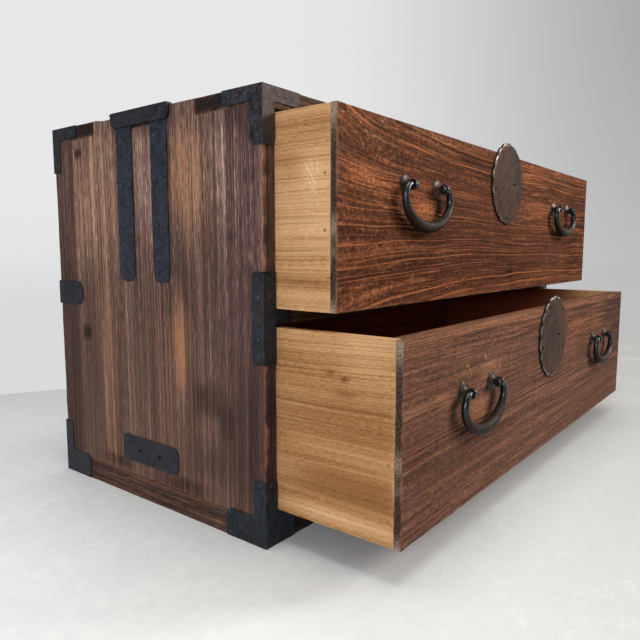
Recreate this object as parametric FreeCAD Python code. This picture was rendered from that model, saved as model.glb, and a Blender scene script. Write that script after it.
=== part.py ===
import FreeCAD, Part
import math
import os

from FreeCAD import Vector

# Clothing chest with two full-width drawers, forged iron mounts and a pole loop on each side.
# Millimetres. +X runs to the right along the front, +Y to the back, +Z up.
# The origin is the middle of the footprint, on the floor.
# Left is the left side for someone who stands before the chest.

# Driving sizes of the case, iron included
case_width = 913.0
case_depth = 412.0
case_height = 500.0

# Iron sheet, and how far it stays off the floor
iron = 1.5
floor_gap = 0.5

# Case boards, and where the fingers of the top and the glued seams lie along the depth
side_thickness = 18.0
top_thickness = 22.0
bottom_thickness = 30.0
back_thickness = 12.0
finger_height = 18.5
finger_edge_shares = (0.252, 0.378, 0.621, 0.755)
bottom_seam_share = 0.755
back_seam_share = 0.535

# Front rails, the shelf between the drawers, and what the drawers slide on
sill_height = 38.5
rail_height = 16.8
rail_depth = 24.0
tenon_length = 8.0
tenon_shoulder = 3.0
shelf_thickness = 8.0
batten_width = 18.0
runner_width = 20.0
runner_lift = 1.0
slide_gap = 0.3
lower_head_gap = 2.2
upper_head_gap = 4.0

# Drawers, and how far each is pulled out in this pose
drawer_side_gap = 1.4
drawer_back_gap = 2.0
front_thickness = 20.0
front_lip = 8.0
drawer_side_thickness = 12.0
drawer_back_thickness = 12.0
drawer_back_drop = 10.0
drawer_bottom_thickness = 7.0
bottom_inset = 6.0
groove_depth = 5.0
upper_pull = 81.3
lower_pull = 159.4

# Wooden pegs of the drawer joints
peg_radius = 2.0
peg_length = 30.0
peg_clearance = 0.05
peg_height_shares = (0.128, 0.403, 0.675)

# Bail handles, their eye posts and rosettes. The right-hand pair was forged smaller than the left.
bail_spread = 532.0
upper_bail_sink = 69.2
lower_bail_sink = 72.7
post_spacing = 78.0
pivot_standoff = 10.5
left_bail_half_width = 54.5
left_bail_drop = 47.0
right_bail_half_width = 51.5
right_bail_drop = 42.5
elbow_gap = 0.8
elbow_drop = 14.0
bail_end_radius = 3.8
bail_leg_radius = 4.4
bail_belly_radius = 7.2
bail_sections = 6
pin_radius = 3.2
pin_clearance = 0.08
eye_radius = 6.0
eye_width = 5.5
knob_gap = 0.6
knob_length = 3.5
knob_radius = 4.8
knob_sides = 8
stem_radius = 3.0
stem_clearance = 0.1
clench_length = 14.0
clench_thickness = 1.8
rosette_radius = 12.0
rosette_height = 2.6
rosette_crown_radius = 7.5

# Lock: scalloped plate, case let into the front, bolt and spring
lock_sink = 43.6
plate_radius = 61.2
plate_valley = 2.2
plate_scallops = 18
plate_turn = 18.5
plate_thickness = 3.6
plate_skin = 1.5
plate_slope = 3.4
plate_piercings = 5
piercing_radius = 1.9
piercing_circle = 51.5
piercing_turn = 48.0
keyhole_radius = 2.2
keyhole_reach = 23.5
keyhole_slot = 3.5
keyhole_turn = 3.0
lock_case_width = 64.0
lock_case_height = 50.0
lock_case_depth = 13.0
lock_case_drop = 23.0
lock_case_wall = 1.2
bolt_width = 24.0
bolt_thickness = 4.5
bolt_back = 4.0
bolt_clearance = 0.4
bolt_sunk = 0.6
bolt_travel = 7.0
bolt_window = 10.0
mortise_spare = 2.0
spring_thickness = 0.8
spring_width = 5.0
spring_gap = 0.5
spring_length = 34.0

# Irons on the upper corners, the lower corners and the rear edge
corner_arm = 60.0
corner_arm_height = 16.0
corner_leg = 61.0
corner_leg_width = 18.5
corner_round = 7.5
inner_round = 2.0
foot_arm = 63.0
foot_block = 34.0
foot_front_arm = 48.0
foot_front_block = 37.5
foot_leg = 77.0
foot_round = 9.0
tee_height = 101.0
tee_arm = 43.0
tee_round = 6.0
tee_inset = 0.6
clasp_reach = 61.0
clasp_height = 33.0
clasp_round = 12.0

# Straps on the sides, the pole loops whose legs they cover, and the pierced plates
strap_width = 31.0
strap_length = 209.0
strap_head_gap = 1.0
strap_round = 12.0
loop_middle = 206.5
loop_leg_spacing = 70.0
loop_leg_width = 14.0
loop_leg_thickness = 4.0
loop_foot_width = 20.0
loop_foot_height = 10.0
loop_gap = 0.4
loop_floor = 6.0
loop_travel = 140.0
cross_length = 115.0
cross_height = 18.4
cross_thickness = 2.6
cross_flange = 2.0
cross_round = 7.0
cross_ear = 6.0
pierced_length = 115.0
pierced_height = 35.0
pierced_base = 49.0
pierced_round = 10.0
pierced_hole_radius = 3.0
pierced_hole_spacing = 42.0
pierced_hole_depth = 12.0

# Nail heads, and where they sit along each iron
nail_radius = 1.7
nail_rise = 0.7
nail_crown_share = 0.5
nail_inset = 6.0
arm_nail_shares = (0.42, 0.62, 0.82)
leg_nail_shares = (0.40, 0.84)
tee_nail_shares = (0.08, 0.27, 0.73, 0.92)
strap_nail_shares = (0.066, 0.305, 0.587, 0.850)

# What follows from the sizes above
left = -case_width / 2
front = -case_depth / 2
back = case_depth / 2
wood_left = left + iron
wood_right = -wood_left
wood_front = front + iron
wood_back = back - iron
wood_depth = wood_back - wood_front
inner_left = wood_left + side_thickness
inner_right = -inner_left
top_under = case_height - top_thickness
back_face = wood_back - back_thickness
rail_back = wood_front + rail_depth
head_gaps = lower_head_gap + upper_head_gap
foot_gaps = 2 * (runner_lift + slide_gap)
back_seam = bottom_thickness + back_seam_share * (top_under - bottom_thickness)
clasp_base = back_seam - clasp_height / 2
strap_base = case_height - strap_head_gap - strap_length
drawer_height = (top_under - sill_height - rail_height - foot_gaps - head_gaps) / 2
lower_base = sill_height + runner_lift + slide_gap
rail_base = lower_base + drawer_height + lower_head_gap
rail_top = rail_base + rail_height
shelf_top = rail_top + runner_lift
upper_base = shelf_top + slide_gap
drawer_left = inner_left + drawer_side_gap
drawer_right = -drawer_left
drawer_length = back_face - wood_front - drawer_back_gap
side_face = drawer_left + drawer_side_thickness
peg_front = (front_lip + front_thickness + peg_radius) / 2
peg_rear = drawer_length - drawer_back_thickness / 2
lock_height = drawer_height - lock_sink
case_floor = lock_height - lock_case_drop
case_ceiling = case_floor + lock_case_height
leg_face = wood_left + loop_gap
leg_back = leg_face + loop_leg_thickness
loop_top = case_height + loop_gap + cross_flange
groove_base = strap_base + loop_floor
upper_front = wood_front - upper_pull
lower_front = wood_front - lower_pull


def block(x0, x1, y0, y1, z0, z1):
    """A box between two corners."""
    return Part.makeBox(x1 - x0, y1 - y0, z1 - z0, Vector(x0, y0, z0))


def centred(half_width, y0, y1, z0, z1):
    """A box that is as wide to the left of the middle as to the right."""
    return block(-half_width, half_width, y0, y1, z0, z1)


def mirrored(shape):
    """The same piece on the other side of the chest."""
    return shape.mirror(Vector(0, 0, 0), Vector(1, 0, 0))


def joined(shapes):
    """Touching or overlapping solids as one, without the faces that split them."""
    return shapes[0].fuse(shapes[1:]).removeSplitter()


def rounded_face(corners):
    """A flat face whose corners, given as (point, radius), are rounded by tangent arcs."""
    points = [Vector(*point) for point, radius in corners]
    count = len(points)
    arcs = []
    ends = []
    for i in range(count):
        radius = corners[i][1]
        to_last = (points[i - 1] - points[i]).normalize()
        to_next = (points[(i + 1) % count] - points[i]).normalize()
        half = to_last.getAngle(to_next) / 2
        start = points[i] + to_last * (radius / math.tan(half))
        end = points[i] + to_next * (radius / math.tan(half))
        inward = (to_last + to_next).normalize()
        nearest = points[i] + inward * (radius / math.sin(half) - radius)
        arcs.append([Part.Arc(start, nearest, end).toShape()] if radius else [])
        ends.append((start, end))
    edges = []
    for i in range(count):
        edges += arcs[i]
        edges.append(Part.LineSegment(ends[i][1], ends[(i + 1) % count][0]).toShape())
    return Part.Face(Part.Wire(edges))


def side_sheet(corners):
    """Iron on the left face. Corners are ((back from the front, height), radius)."""
    spots = [((left, front + v, z), radius) for (v, z), radius in corners]
    return rounded_face(spots).extrude(Vector(iron, 0, 0))


def front_sheet(corners):
    """Iron on the front face. Corners are ((in from the left, height), radius)."""
    spots = [((left + u, front, z), radius) for (u, z), radius in corners]
    return rounded_face(spots).extrude(Vector(0, iron, 0))


def back_sheet(corners):
    """Iron on the back face, with corners as on the front."""
    spots = [((left + u, back, z), radius) for (u, z), radius in corners]
    return rounded_face(spots).extrude(Vector(0, -iron, 0))


def from_back(corners):
    """A side outline turned end for end, so that it starts at the back edge."""
    return [((case_depth - v, z), radius) for (v, z), radius in corners]


def ell(arm, arm_edge, leg_width, leg_end, root, arm_round, leg_round):
    """An L with its corner on the edge at height root, an arm along it and a leg."""
    return [
        ((0, root), 0),
        ((arm, root), 0),
        ((arm, arm_edge), arm_round),
        ((leg_width, arm_edge), inner_round),
        ((leg_width, leg_end), leg_round),
        ((0, leg_end), 0),
    ]


def tab(reach, z0, z1, end_round):
    """A strip that starts at the edge and has a rounded far end."""
    return [((0, z0), 0), ((reach, z0), end_round), ((reach, z1), end_round), ((0, z1), 0)]


# Case boards

def finger_spans():
    """The stretches of depth where the top's fingers reach through the side."""
    edges = [wood_front + share * wood_depth for share in finger_edge_shares]
    return [(wood_front, edges[0]), (edges[1], edges[2]), (edges[3], wood_back)]


def fingers():
    """The top's fingers at the left side."""
    low = case_height - finger_height
    return [block(wood_left, inner_left, y0, y1, low, case_height) for y0, y1 in finger_spans()]


def leg_middles():
    """Places of the pole loop's two legs along the depth."""
    return [front + loop_middle + turn * loop_leg_spacing / 2 for turn in (-1, 1)]


def loop_grooves():
    """Grooves under the left straps, wide at the foot and narrow above, so that the foot stops."""
    cuts = []
    shoulder = groove_base + loop_gap + loop_foot_height + loop_travel
    for y in leg_middles():
        wide = loop_foot_width / 2 + loop_gap
        narrow = loop_leg_width / 2 + loop_gap
        cuts.append(block(wood_left, leg_back + loop_gap, y - wide, y + wide, groove_base, shoulder))
        cuts.append(
            block(wood_left, leg_back + loop_gap, y - narrow, y + narrow, groove_base, case_height)
        )
    return cuts


def rail_tenon():
    """The mid rail's stub tenon in the left side."""
    return block(
        inner_left - tenon_length,
        inner_left,
        wood_front + tenon_shoulder,
        rail_back - tenon_shoulder,
        rail_base + tenon_shoulder,
        rail_top - tenon_shoulder,
    )


def pierced_holes():
    """The two blind holes behind the left pierced plate, from the iron's face on."""
    height = pierced_base + pierced_height / 2
    holes = []
    for turn in (-1, 1):
        y = front + loop_middle + turn * pierced_hole_spacing / 2
        start = Vector(left, y, height)
        holes.append(
            Part.makeCylinder(pierced_hole_radius, iron + pierced_hole_depth, start, Vector(1, 0, 0))
        )
    return holes


def bolt_mortise(underside):
    """Where a raised lock bolt enters the wood above a shut drawer."""
    half = bolt_width / 2 + mortise_spare
    y0 = wood_front + bolt_back - mortise_spare
    y1 = wood_front + bolt_back + bolt_thickness + mortise_spare
    return centred(half, y0, y1, underside, underside + bolt_travel + mortise_spare)


def case_boards():
    """The wooden pieces of the case."""
    side = block(wood_left, inner_left, wood_front, wood_back, bottom_thickness, case_height)
    side = side.cut(fingers() + loop_grooves() + [rail_tenon()] + pierced_holes())
    top = block(inner_left, inner_right, wood_front, wood_back, top_under, case_height)
    top = joined([top] + fingers() + [mirrored(finger) for finger in fingers()])
    grooves = loop_grooves()
    top = top.cut(grooves + [mirrored(groove) for groove in grooves])
    top = top.cut(bolt_mortise(top_under))
    seam = wood_front + bottom_seam_share * wood_depth
    rail = block(inner_left, inner_right, wood_front, rail_back, rail_base, rail_top)
    rail = joined([rail, rail_tenon(), mirrored(rail_tenon())]).cut(bolt_mortise(rail_base))
    shelf_base = shelf_top - shelf_thickness
    batten = block(
        inner_left, inner_left + batten_width, rail_back, back_face, rail_base, shelf_base
    )
    runner = block(
        inner_left,
        inner_left + runner_width,
        rail_back,
        back_face,
        bottom_thickness,
        sill_height + runner_lift,
    )
    return {
        "case_left_side": side,
        "case_right_side": mirrored(side),
        "case_top": top,
        "bottom_front_plank": block(wood_left, wood_right, wood_front, seam, 0, bottom_thickness),
        "bottom_rear_plank": block(wood_left, wood_right, seam, wood_back, 0, bottom_thickness),
        "case_back_lower": block(
            inner_left, inner_right, back_face, wood_back, bottom_thickness, back_seam
        ),
        "case_back_upper": block(inner_left, inner_right, back_face, wood_back, back_seam, top_under),
        "front_sill": block(
            inner_left, inner_right, wood_front, rail_back, bottom_thickness, sill_height
        ),
        "mid_rail": rail,
        "shelf": block(inner_left, inner_right, rail_back, back_face, shelf_base, shelf_top),
        "shelf_battens": Part.makeCompound([batten, mirrored(batten)]),
        "drawer_runners": Part.makeCompound([runner, mirrored(runner)]),
    }


# Irons of the case

def case_irons():
    """The left side's irons. Each corner iron is folded round the edge that it guards."""
    arm_edge = case_height - corner_arm_height
    leg_end = case_height - corner_leg
    corner = ell(
        corner_arm, arm_edge, corner_leg_width, leg_end, case_height, corner_round, corner_round
    )
    foot = ell(foot_arm, foot_block, corner_leg_width, foot_leg, floor_gap, foot_round, tee_round)
    foot_front = ell(
        foot_front_arm, foot_front_block, corner_leg_width, foot_leg, floor_gap, 0, tee_round
    )
    tee_base = (rail_base + rail_top - tee_height) / 2
    tee_side = tab(corner_leg_width, tee_base, tee_base + tee_height, tee_round)
    tee_stem = tab(corner_leg_width, tee_base, tee_base + tee_height, 0)
    tee_bar = tab(tee_arm, rail_base + tee_inset, rail_top - tee_inset, tee_round)
    clasp = tab(clasp_reach, clasp_base, clasp_base + clasp_height, clasp_round)
    top_wrap = tab(corner_leg_width, leg_end, case_height, 0)
    clasp_wrap = tab(corner_leg_width, clasp_base, clasp_base + clasp_height, 0)
    foot_wrap = tab(corner_leg_width, floor_gap, foot_leg, 0)
    tee_front = joined([front_sheet(tee_stem), front_sheet(tee_bar)])
    return {
        "top_front_corner": joined([side_sheet(corner), front_sheet(corner)]),
        "foot_front_corner": joined([side_sheet(foot), front_sheet(foot_front)]),
        "tee_iron": joined([side_sheet(tee_side), tee_front]),
        "top_back_corner": joined([side_sheet(from_back(corner)), back_sheet(top_wrap)]),
        "clasp": joined([side_sheet(from_back(clasp)), back_sheet(clasp_wrap)]),
        "foot_back_corner": joined([side_sheet(from_back(foot)), back_sheet(foot_wrap)]),
        "pole_straps": pole_straps(),
        "pierced_plate": pierced_plate(),
    }


def pole_straps():
    """The two nailed straps that cover the pole loop's legs."""
    top = case_height - strap_head_gap
    straps = []
    for y in leg_middles():
        near = y - front - strap_width / 2
        far = near + strap_width
        outline = [
            ((near, strap_base), strap_round),
            ((far, strap_base), strap_round),
            ((far, top), 0),
            ((near, top), 0),
        ]
        straps.append(side_sheet(outline))
    return Part.makeCompound(straps)


def pierced_plate():
    """The plate with two holes near the floor."""
    near = loop_middle - pierced_length / 2
    far = near + pierced_length
    top = pierced_base + pierced_height
    outline = [
        ((near, pierced_base), pierced_round),
        ((far, pierced_base), tee_round),
        ((far, top), tee_round),
        ((near, top), pierced_round),
    ]
    return side_sheet(outline).cut(pierced_holes())


def pole_loop():
    """The loop that lifts out of the left side: two legs with stop feet under a cross plate."""
    outer = left - loop_gap - cross_thickness
    near = loop_middle - cross_length / 2
    far = near + cross_length
    low = loop_top - cross_height
    spots = [
        ((outer, front + near, low), cross_round),
        ((outer, front + far, low), cross_round),
        ((outer, front + far, loop_top), inner_round),
        ((outer, front + near, loop_top), inner_round),
    ]
    plate = rounded_face(spots).extrude(Vector(cross_thickness, 0, 0))
    flange_end = front + far + cross_ear
    flange_base = loop_top - cross_flange
    pieces = [
        plate,
        block(
            outer,
            leg_back,
            front + near + inner_round,
            flange_end - cross_ear - inner_round,
            flange_base,
            loop_top,
        ),
        block(
            outer + cross_thickness,
            leg_back,
            front + far - cross_round,
            flange_end,
            flange_base,
            loop_top,
        ),
    ]
    foot_base = groove_base + loop_gap
    for y in leg_middles():
        half_leg = loop_leg_width / 2
        half_foot = loop_foot_width / 2
        pieces.append(block(leg_face, leg_back, y - half_leg, y + half_leg, foot_base, loop_top))
        pieces.append(
            block(
                leg_face,
                leg_back,
                y - half_foot,
                y + half_foot,
                foot_base,
                foot_base + loop_foot_height,
            )
        )
    return joined(pieces)


def nail(spot, direction):
    """A nail head that sits on an iron."""
    crown = nail_radius * nail_crown_share
    return Part.makeCone(nail_radius, crown, nail_rise, spot, direction)


def side_nails(spots):
    """Heads on the left face at (back from the front, height)."""
    return [nail(Vector(left, front + v, z), Vector(-1, 0, 0)) for v, z in spots]


def front_nails(spots):
    """Heads on the front face at (in from the left, height)."""
    return [nail(Vector(left + u, front, z), Vector(0, -1, 0)) for u, z in spots]


def case_nails():
    """All nail heads of the left side and the left half of the front, and their mirror images."""
    leg_middle = corner_leg_width / 2
    arm_middle = case_height - corner_arm_height / 2
    corner = [(share * corner_arm, arm_middle) for share in arm_nail_shares]
    corner += [(leg_middle, case_height - share * corner_leg) for share in leg_nail_shares]
    foot = [(foot_arm - nail_inset, foot_block - nail_inset), (foot_arm - nail_inset, nail_inset)]
    foot += [(leg_middle, foot_leg - nail_inset)]
    tee_base = (rail_base + rail_top - tee_height) / 2
    tee = [(leg_middle, tee_base + share * tee_height) for share in tee_nail_shares]
    clasp = [
        (clasp_reach - nail_inset - nail_radius, clasp_base + clasp_height / 2),
        (nail_inset, clasp_base + nail_inset),
        (nail_inset, clasp_base + clasp_height - nail_inset),
    ]
    pierced = []
    for v in (-1, 1):
        for z in (-1, 1):
            pierced.append(
                (
                    loop_middle + v * (pierced_length / 2 - pierced_round),
                    pierced_base + pierced_height / 2 + z * (pierced_height / 2 - nail_inset),
                )
            )
    straps = []
    for y in leg_middles():
        for share in strap_nail_shares:
            for turn in (-1, 1):
                reach = strap_width / 2 - nail_inset
                straps.append((y - front + turn * reach, strap_base + share * strap_length))
    back_irons = [(case_depth - v, z) for v, z in corner + foot + clasp]
    sides = side_nails(corner + foot + tee + back_irons + pierced + straps)
    front_foot = [
        (foot_front_arm - nail_inset, foot_front_block - nail_inset),
        (foot_front_arm - nail_inset, nail_inset),
        (leg_middle, foot_leg - nail_inset),
    ]
    rail_middle = (rail_base + rail_top) / 2
    fronts = front_nails(corner + tee + front_foot + [(tee_arm - nail_inset, rail_middle)])
    heads = sides + fronts
    return Part.makeCompound(heads + [mirrored(head) for head in heads])


# Drawers, each built with its front face on y = 0 and its lower edge on z = 0

def drawer_bottom():
    """The bottom panel, let into grooves in the front and the sides."""
    half = drawer_right - drawer_side_thickness + groove_depth
    return centred(
        half,
        front_thickness - groove_depth,
        drawer_length,
        bottom_inset,
        bottom_inset + drawer_bottom_thickness,
    )


def pegs(radius):
    """The left side's pegs, at the front and at the back joint, or their holes."""
    made = []
    for y in (peg_front, peg_rear):
        for share in peg_height_shares:
            spot = Vector(drawer_left, y, share * drawer_height)
            made.append(Part.makeCylinder(radius, peg_length, spot, Vector(1, 0, 0)))
    return made


def post_places():
    """The four places of the eye posts across a drawer."""
    places = []
    for side in (-1, 1):
        for turn in (-1, 1):
            places.append(side * bail_spread / 2 + turn * post_spacing / 2)
    return places


def lock_recess():
    """The hollow in the front for the lock case, and the bolt's way up to the top edge."""
    half = lock_case_width / 2
    slot_half = bolt_width / 2 + bolt_clearance
    slot_back = bolt_back + bolt_thickness + bolt_clearance
    return [
        centred(half, 0, lock_case_depth, case_floor, case_ceiling),
        centred(slot_half, bolt_back - bolt_clearance, slot_back, case_ceiling, drawer_height),
    ]


def drawer_boards(bail_height):
    """Front, sides, back, bottom and pegs, with bores for the eye posts at the bails' height."""
    panel = drawer_bottom()
    holes = pegs(peg_radius + peg_clearance)
    holes += [mirrored(hole) for hole in holes]
    side = block(drawer_left, side_face, front_lip, drawer_length, 0, drawer_height)
    side = side.cut([panel] + holes)
    rebate = block(drawer_left, side_face, front_lip, front_thickness, 0, drawer_height)
    bores = []
    for x in post_places():
        start = Vector(x, 0, bail_height)
        bores.append(
            Part.makeCylinder(stem_radius + stem_clearance, front_thickness, start, Vector(0, 1, 0))
        )
    face = block(drawer_left, drawer_right, 0, front_thickness, 0, drawer_height)
    face = face.cut([rebate, mirrored(rebate), panel] + lock_recess() + bores + holes)
    rear = block(
        side_face,
        -side_face,
        drawer_length - drawer_back_thickness,
        drawer_length,
        bottom_inset + drawer_bottom_thickness,
        drawer_height - drawer_back_drop,
    )
    sticks = pegs(peg_radius)
    return {
        "front": face,
        "left_side": side,
        "right_side": mirrored(side),
        "back": rear.cut(holes),
        "bottom": panel,
        "pegs": Part.makeCompound(sticks + [mirrored(stick) for stick in sticks]),
    }


def bail_ring(x, z, tangent, radius):
    """One round section of a bail, its seam always at the back."""
    circle = Part.Circle(Vector(x, -pivot_standoff, z), tangent, radius)
    circle.XAxis = Vector(0, 1, 0)
    return Part.Wire(circle.toShape())


def bail(middle, bail_height, half_width, drop):
    """A forged bail whose ends turn inwards through the eyes and finish in faceted knobs."""
    belly_drop = drop - elbow_drop
    elbow_start = (post_spacing + eye_width) / 2 + elbow_gap
    elbow_reach = half_width - elbow_start
    spots = []
    for i in range(bail_sections):
        turn = math.pi / 2 * i / bail_sections
        x = elbow_start + elbow_reach * math.sin(turn)
        z = -elbow_drop + elbow_drop * math.cos(turn)
        along = Vector(elbow_reach * math.cos(turn), 0, -elbow_drop * math.sin(turn))
        radius = bail_end_radius + (bail_leg_radius - bail_end_radius) * i / bail_sections
        spots.append((x, z, along, radius))
    for i in range(2 * bail_sections + 1):
        turn = math.pi / 2 * i / (2 * bail_sections)
        x = half_width * math.cos(turn)
        z = -elbow_drop - belly_drop * math.sin(turn)
        along = Vector(-half_width * math.sin(turn), 0, -belly_drop * math.cos(turn))
        swell = math.sin(turn) ** 2
        radius = bail_leg_radius + (bail_belly_radius - bail_leg_radius) * swell
        spots.append((x, z, along, radius))
    rings = []
    for x, z, along, radius in spots:
        rings.append(bail_ring(middle + x, bail_height + z, along, radius))
    for x, z, along, radius in reversed(spots[:-1]):
        turned = Vector(along.x, 0, -along.z)
        rings.append(bail_ring(middle - x, bail_height + z, turned, radius))
    pieces = [Part.makeLoft(rings, True, False)]
    knob_end = (post_spacing - eye_width) / 2 - knob_gap
    pin_length = elbow_start - knob_end
    for side in (-1, 1):
        tip = Vector(middle + side * (knob_end - knob_length), -pivot_standoff, bail_height)
        base = Vector(middle + side * knob_end, -pivot_standoff, bail_height)
        outward = Vector(side, 0, 0)
        pieces.append(Part.makeCylinder(pin_radius, pin_length, base, outward))
        corners = []
        for i in range(knob_sides):
            turn = 2 * math.pi * (i + 1 / 2) / knob_sides
            corners.append(
                tip + Vector(0, knob_radius * math.cos(turn), knob_radius * math.sin(turn))
            )
        outline = Part.makePolygon(corners + corners[:1])
        pieces.append(Part.Face(outline).extrude(outward * knob_length))
    return joined(pieces)


def bail_posts(bail_height):
    """Eye posts that carry the bails, their stems clenched inside the front."""
    posts = []
    stem_start = -pivot_standoff + (pin_radius + pin_clearance + eye_radius) / 2
    for x in post_places():
        eye_start = Vector(x - eye_width / 2, -pivot_standoff, bail_height)
        eye = Part.makeCylinder(eye_radius, eye_width, eye_start, Vector(1, 0, 0))
        hole = Part.makeCylinder(pin_radius + pin_clearance, eye_width, eye_start, Vector(1, 0, 0))
        stem = Part.makeCylinder(
            stem_radius,
            front_thickness + clench_thickness - stem_start,
            Vector(x, stem_start, bail_height),
            Vector(0, 1, 0),
        )
        clench = block(
            x - stem_radius,
            x + stem_radius,
            front_thickness,
            front_thickness + clench_thickness,
            bail_height - clench_length,
            bail_height + clench_length,
        )
        posts.append(joined([eye, stem, clench]).cut(hole))
    return Part.makeCompound(posts)


def bail_rosettes(bail_height):
    """Low round plates under the posts."""
    plates = []
    for x in post_places():
        foot = Vector(x, 0, bail_height)
        forward = Vector(0, -1, 0)
        dish = Part.makeCone(rosette_radius, rosette_crown_radius, rosette_height, foot, forward)
        bore = Part.makeCylinder(stem_radius + stem_clearance, rosette_height, foot, forward)
        plates.append(dish.cut(bore))
    return Part.makeCompound(plates)


def scalloped_wire(inset, y):
    """The lock plate's outline: shallow arcs that meet in notches."""
    arcs = []
    step = 2 * math.pi / plate_scallops

    def spot(radius, turn):
        return Vector(radius * math.cos(turn), y, lock_height + radius * math.sin(turn))

    start = math.radians(plate_turn)
    for i in range(plate_scallops):
        low = plate_radius - plate_valley - inset
        high = plate_radius - inset
        turn = start + i * step
        ends = (spot(low, turn), spot(low, turn + step))
        arcs.append(Part.Arc(ends[0], spot(high, turn + step / 2), ends[1]).toShape())
    return Part.Wire(arcs)


def lock_plate():
    """A hollow scalloped dish with small piercings near its rim and a keyhole."""
    rims = [scalloped_wire(0, 0), scalloped_wire(plate_slope, -plate_thickness)]
    dish = Part.makeLoft(rims, True, True)
    forward = Vector(0, -1, 0)
    middle = Vector(0, 0, lock_height)
    hollow_radius = plate_radius - plate_valley - plate_slope - plate_skin
    cuts = [Part.makeCylinder(hollow_radius, plate_thickness - plate_skin, middle, forward)]

    def place(reach, degrees):
        turn = math.radians(degrees)
        return middle + Vector(reach * math.cos(turn), 0, reach * math.sin(turn))

    for i in range(plate_piercings):
        spot = place(piercing_circle, piercing_turn + 360 / plate_piercings * i)
        cuts.append(Part.makeCylinder(piercing_radius, plate_thickness, spot, forward))
    keyhole = place(keyhole_reach, keyhole_turn)
    cuts.append(Part.makeCylinder(keyhole_radius, plate_thickness, keyhole, forward))
    cuts.append(
        block(
            keyhole.x - keyhole_radius - keyhole_slot,
            keyhole.x,
            -plate_thickness,
            0,
            keyhole.z - keyhole_radius / 2,
            keyhole.z + keyhole_radius / 2,
        )
    )
    return dish.cut(cuts)


def lock_case():
    """A sheet-iron box, open towards the plate, with a slot for the bolt in its top."""
    half = lock_case_width / 2
    inner = half - lock_case_wall
    box = centred(half, 0, lock_case_depth, case_floor, case_ceiling)
    hollow = centred(
        inner,
        0,
        lock_case_depth - lock_case_wall,
        case_floor + lock_case_wall,
        case_ceiling - lock_case_wall,
    )
    slot_half = bolt_width / 2 + bolt_clearance
    slot = centred(
        slot_half,
        bolt_back - bolt_clearance,
        bolt_back + bolt_thickness + bolt_clearance,
        case_ceiling - lock_case_wall,
        case_ceiling,
    )
    return box.cut([hollow, slot])


def lock_bolt():
    """The flat bolt, with a window that the key would catch in."""
    base = case_floor + lock_case_wall + bolt_clearance
    bar = centred(
        bolt_width / 2, bolt_back, bolt_back + bolt_thickness, base, drawer_height - bolt_sunk
    )
    window_base = lock_height - bolt_window / 2
    window = centred(
        bolt_window / 2,
        bolt_back,
        bolt_back + bolt_thickness,
        window_base,
        window_base + bolt_window,
    )
    return bar.cut(window)


def lock_spring():
    """A leaf riveted to the case's wall that leans towards the bolt."""
    wall = -lock_case_width / 2 + lock_case_wall
    tip = -bolt_width / 2 - spring_gap
    base = case_floor + lock_case_wall
    top = base + spring_length
    spots = [
        (wall, base),
        (wall + spring_thickness * 2, base),
        (tip, top),
        (tip - spring_thickness, top),
        (wall + spring_thickness, base + spring_thickness * 2),
        (wall + spring_thickness, top),
        (wall, top),
    ]
    corners = [Vector(x, bolt_back, z) for x, z in spots]
    outline = Part.makePolygon(corners + corners[:1])
    return Part.Face(outline).extrude(Vector(0, spring_width, 0))


def drawer_pieces(bail_height):
    """Every piece of one drawer whose bails hang from this height."""
    side = bail_spread / 2
    pieces = drawer_boards(bail_height)
    pieces["lock_plate"] = lock_plate()
    pieces["lock_case"] = lock_case()
    pieces["lock_bolt"] = lock_bolt()
    pieces["lock_spring"] = lock_spring()
    pieces["left_bail"] = bail(-side, bail_height, left_bail_half_width, left_bail_drop)
    pieces["right_bail"] = bail(side, bail_height, right_bail_half_width, right_bail_drop)
    pieces["bail_posts"] = bail_posts(bail_height)
    pieces["bail_rosettes"] = bail_rosettes(bail_height)
    return pieces


def all_nodes():
    """Every node by name, in place."""
    nodes = case_boards()
    irons = case_irons()
    irons["pole_loop"] = pole_loop()
    for name, shape in irons.items():
        nodes[name + "_left"] = shape
        nodes[name + "_right"] = mirrored(shape)
    nodes["case_nails"] = case_nails()
    drawers = [
        ("upper", upper_front, upper_base, drawer_height - upper_bail_sink),
        ("lower", lower_front, lower_base, drawer_height - lower_bail_sink),
    ]
    for drawer, face, base, bail_height in drawers:
        for name, shape in drawer_pieces(bail_height).items():
            is_iron = "lock" in name or "bail" in name
            node = f"{drawer}_{name}" if is_iron else f"{drawer}_drawer_{name}"
            nodes[node] = shape.translated(Vector(0, face, base))
    return nodes


os.makedirs("parts", exist_ok=True)
for node_name, node_shape in all_nodes().items():
    node_shape.exportStep(f"parts/{node_name}.step")
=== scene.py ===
import math

import bpy
import numpy as np
from mathutils import Matrix, Vector


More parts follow.
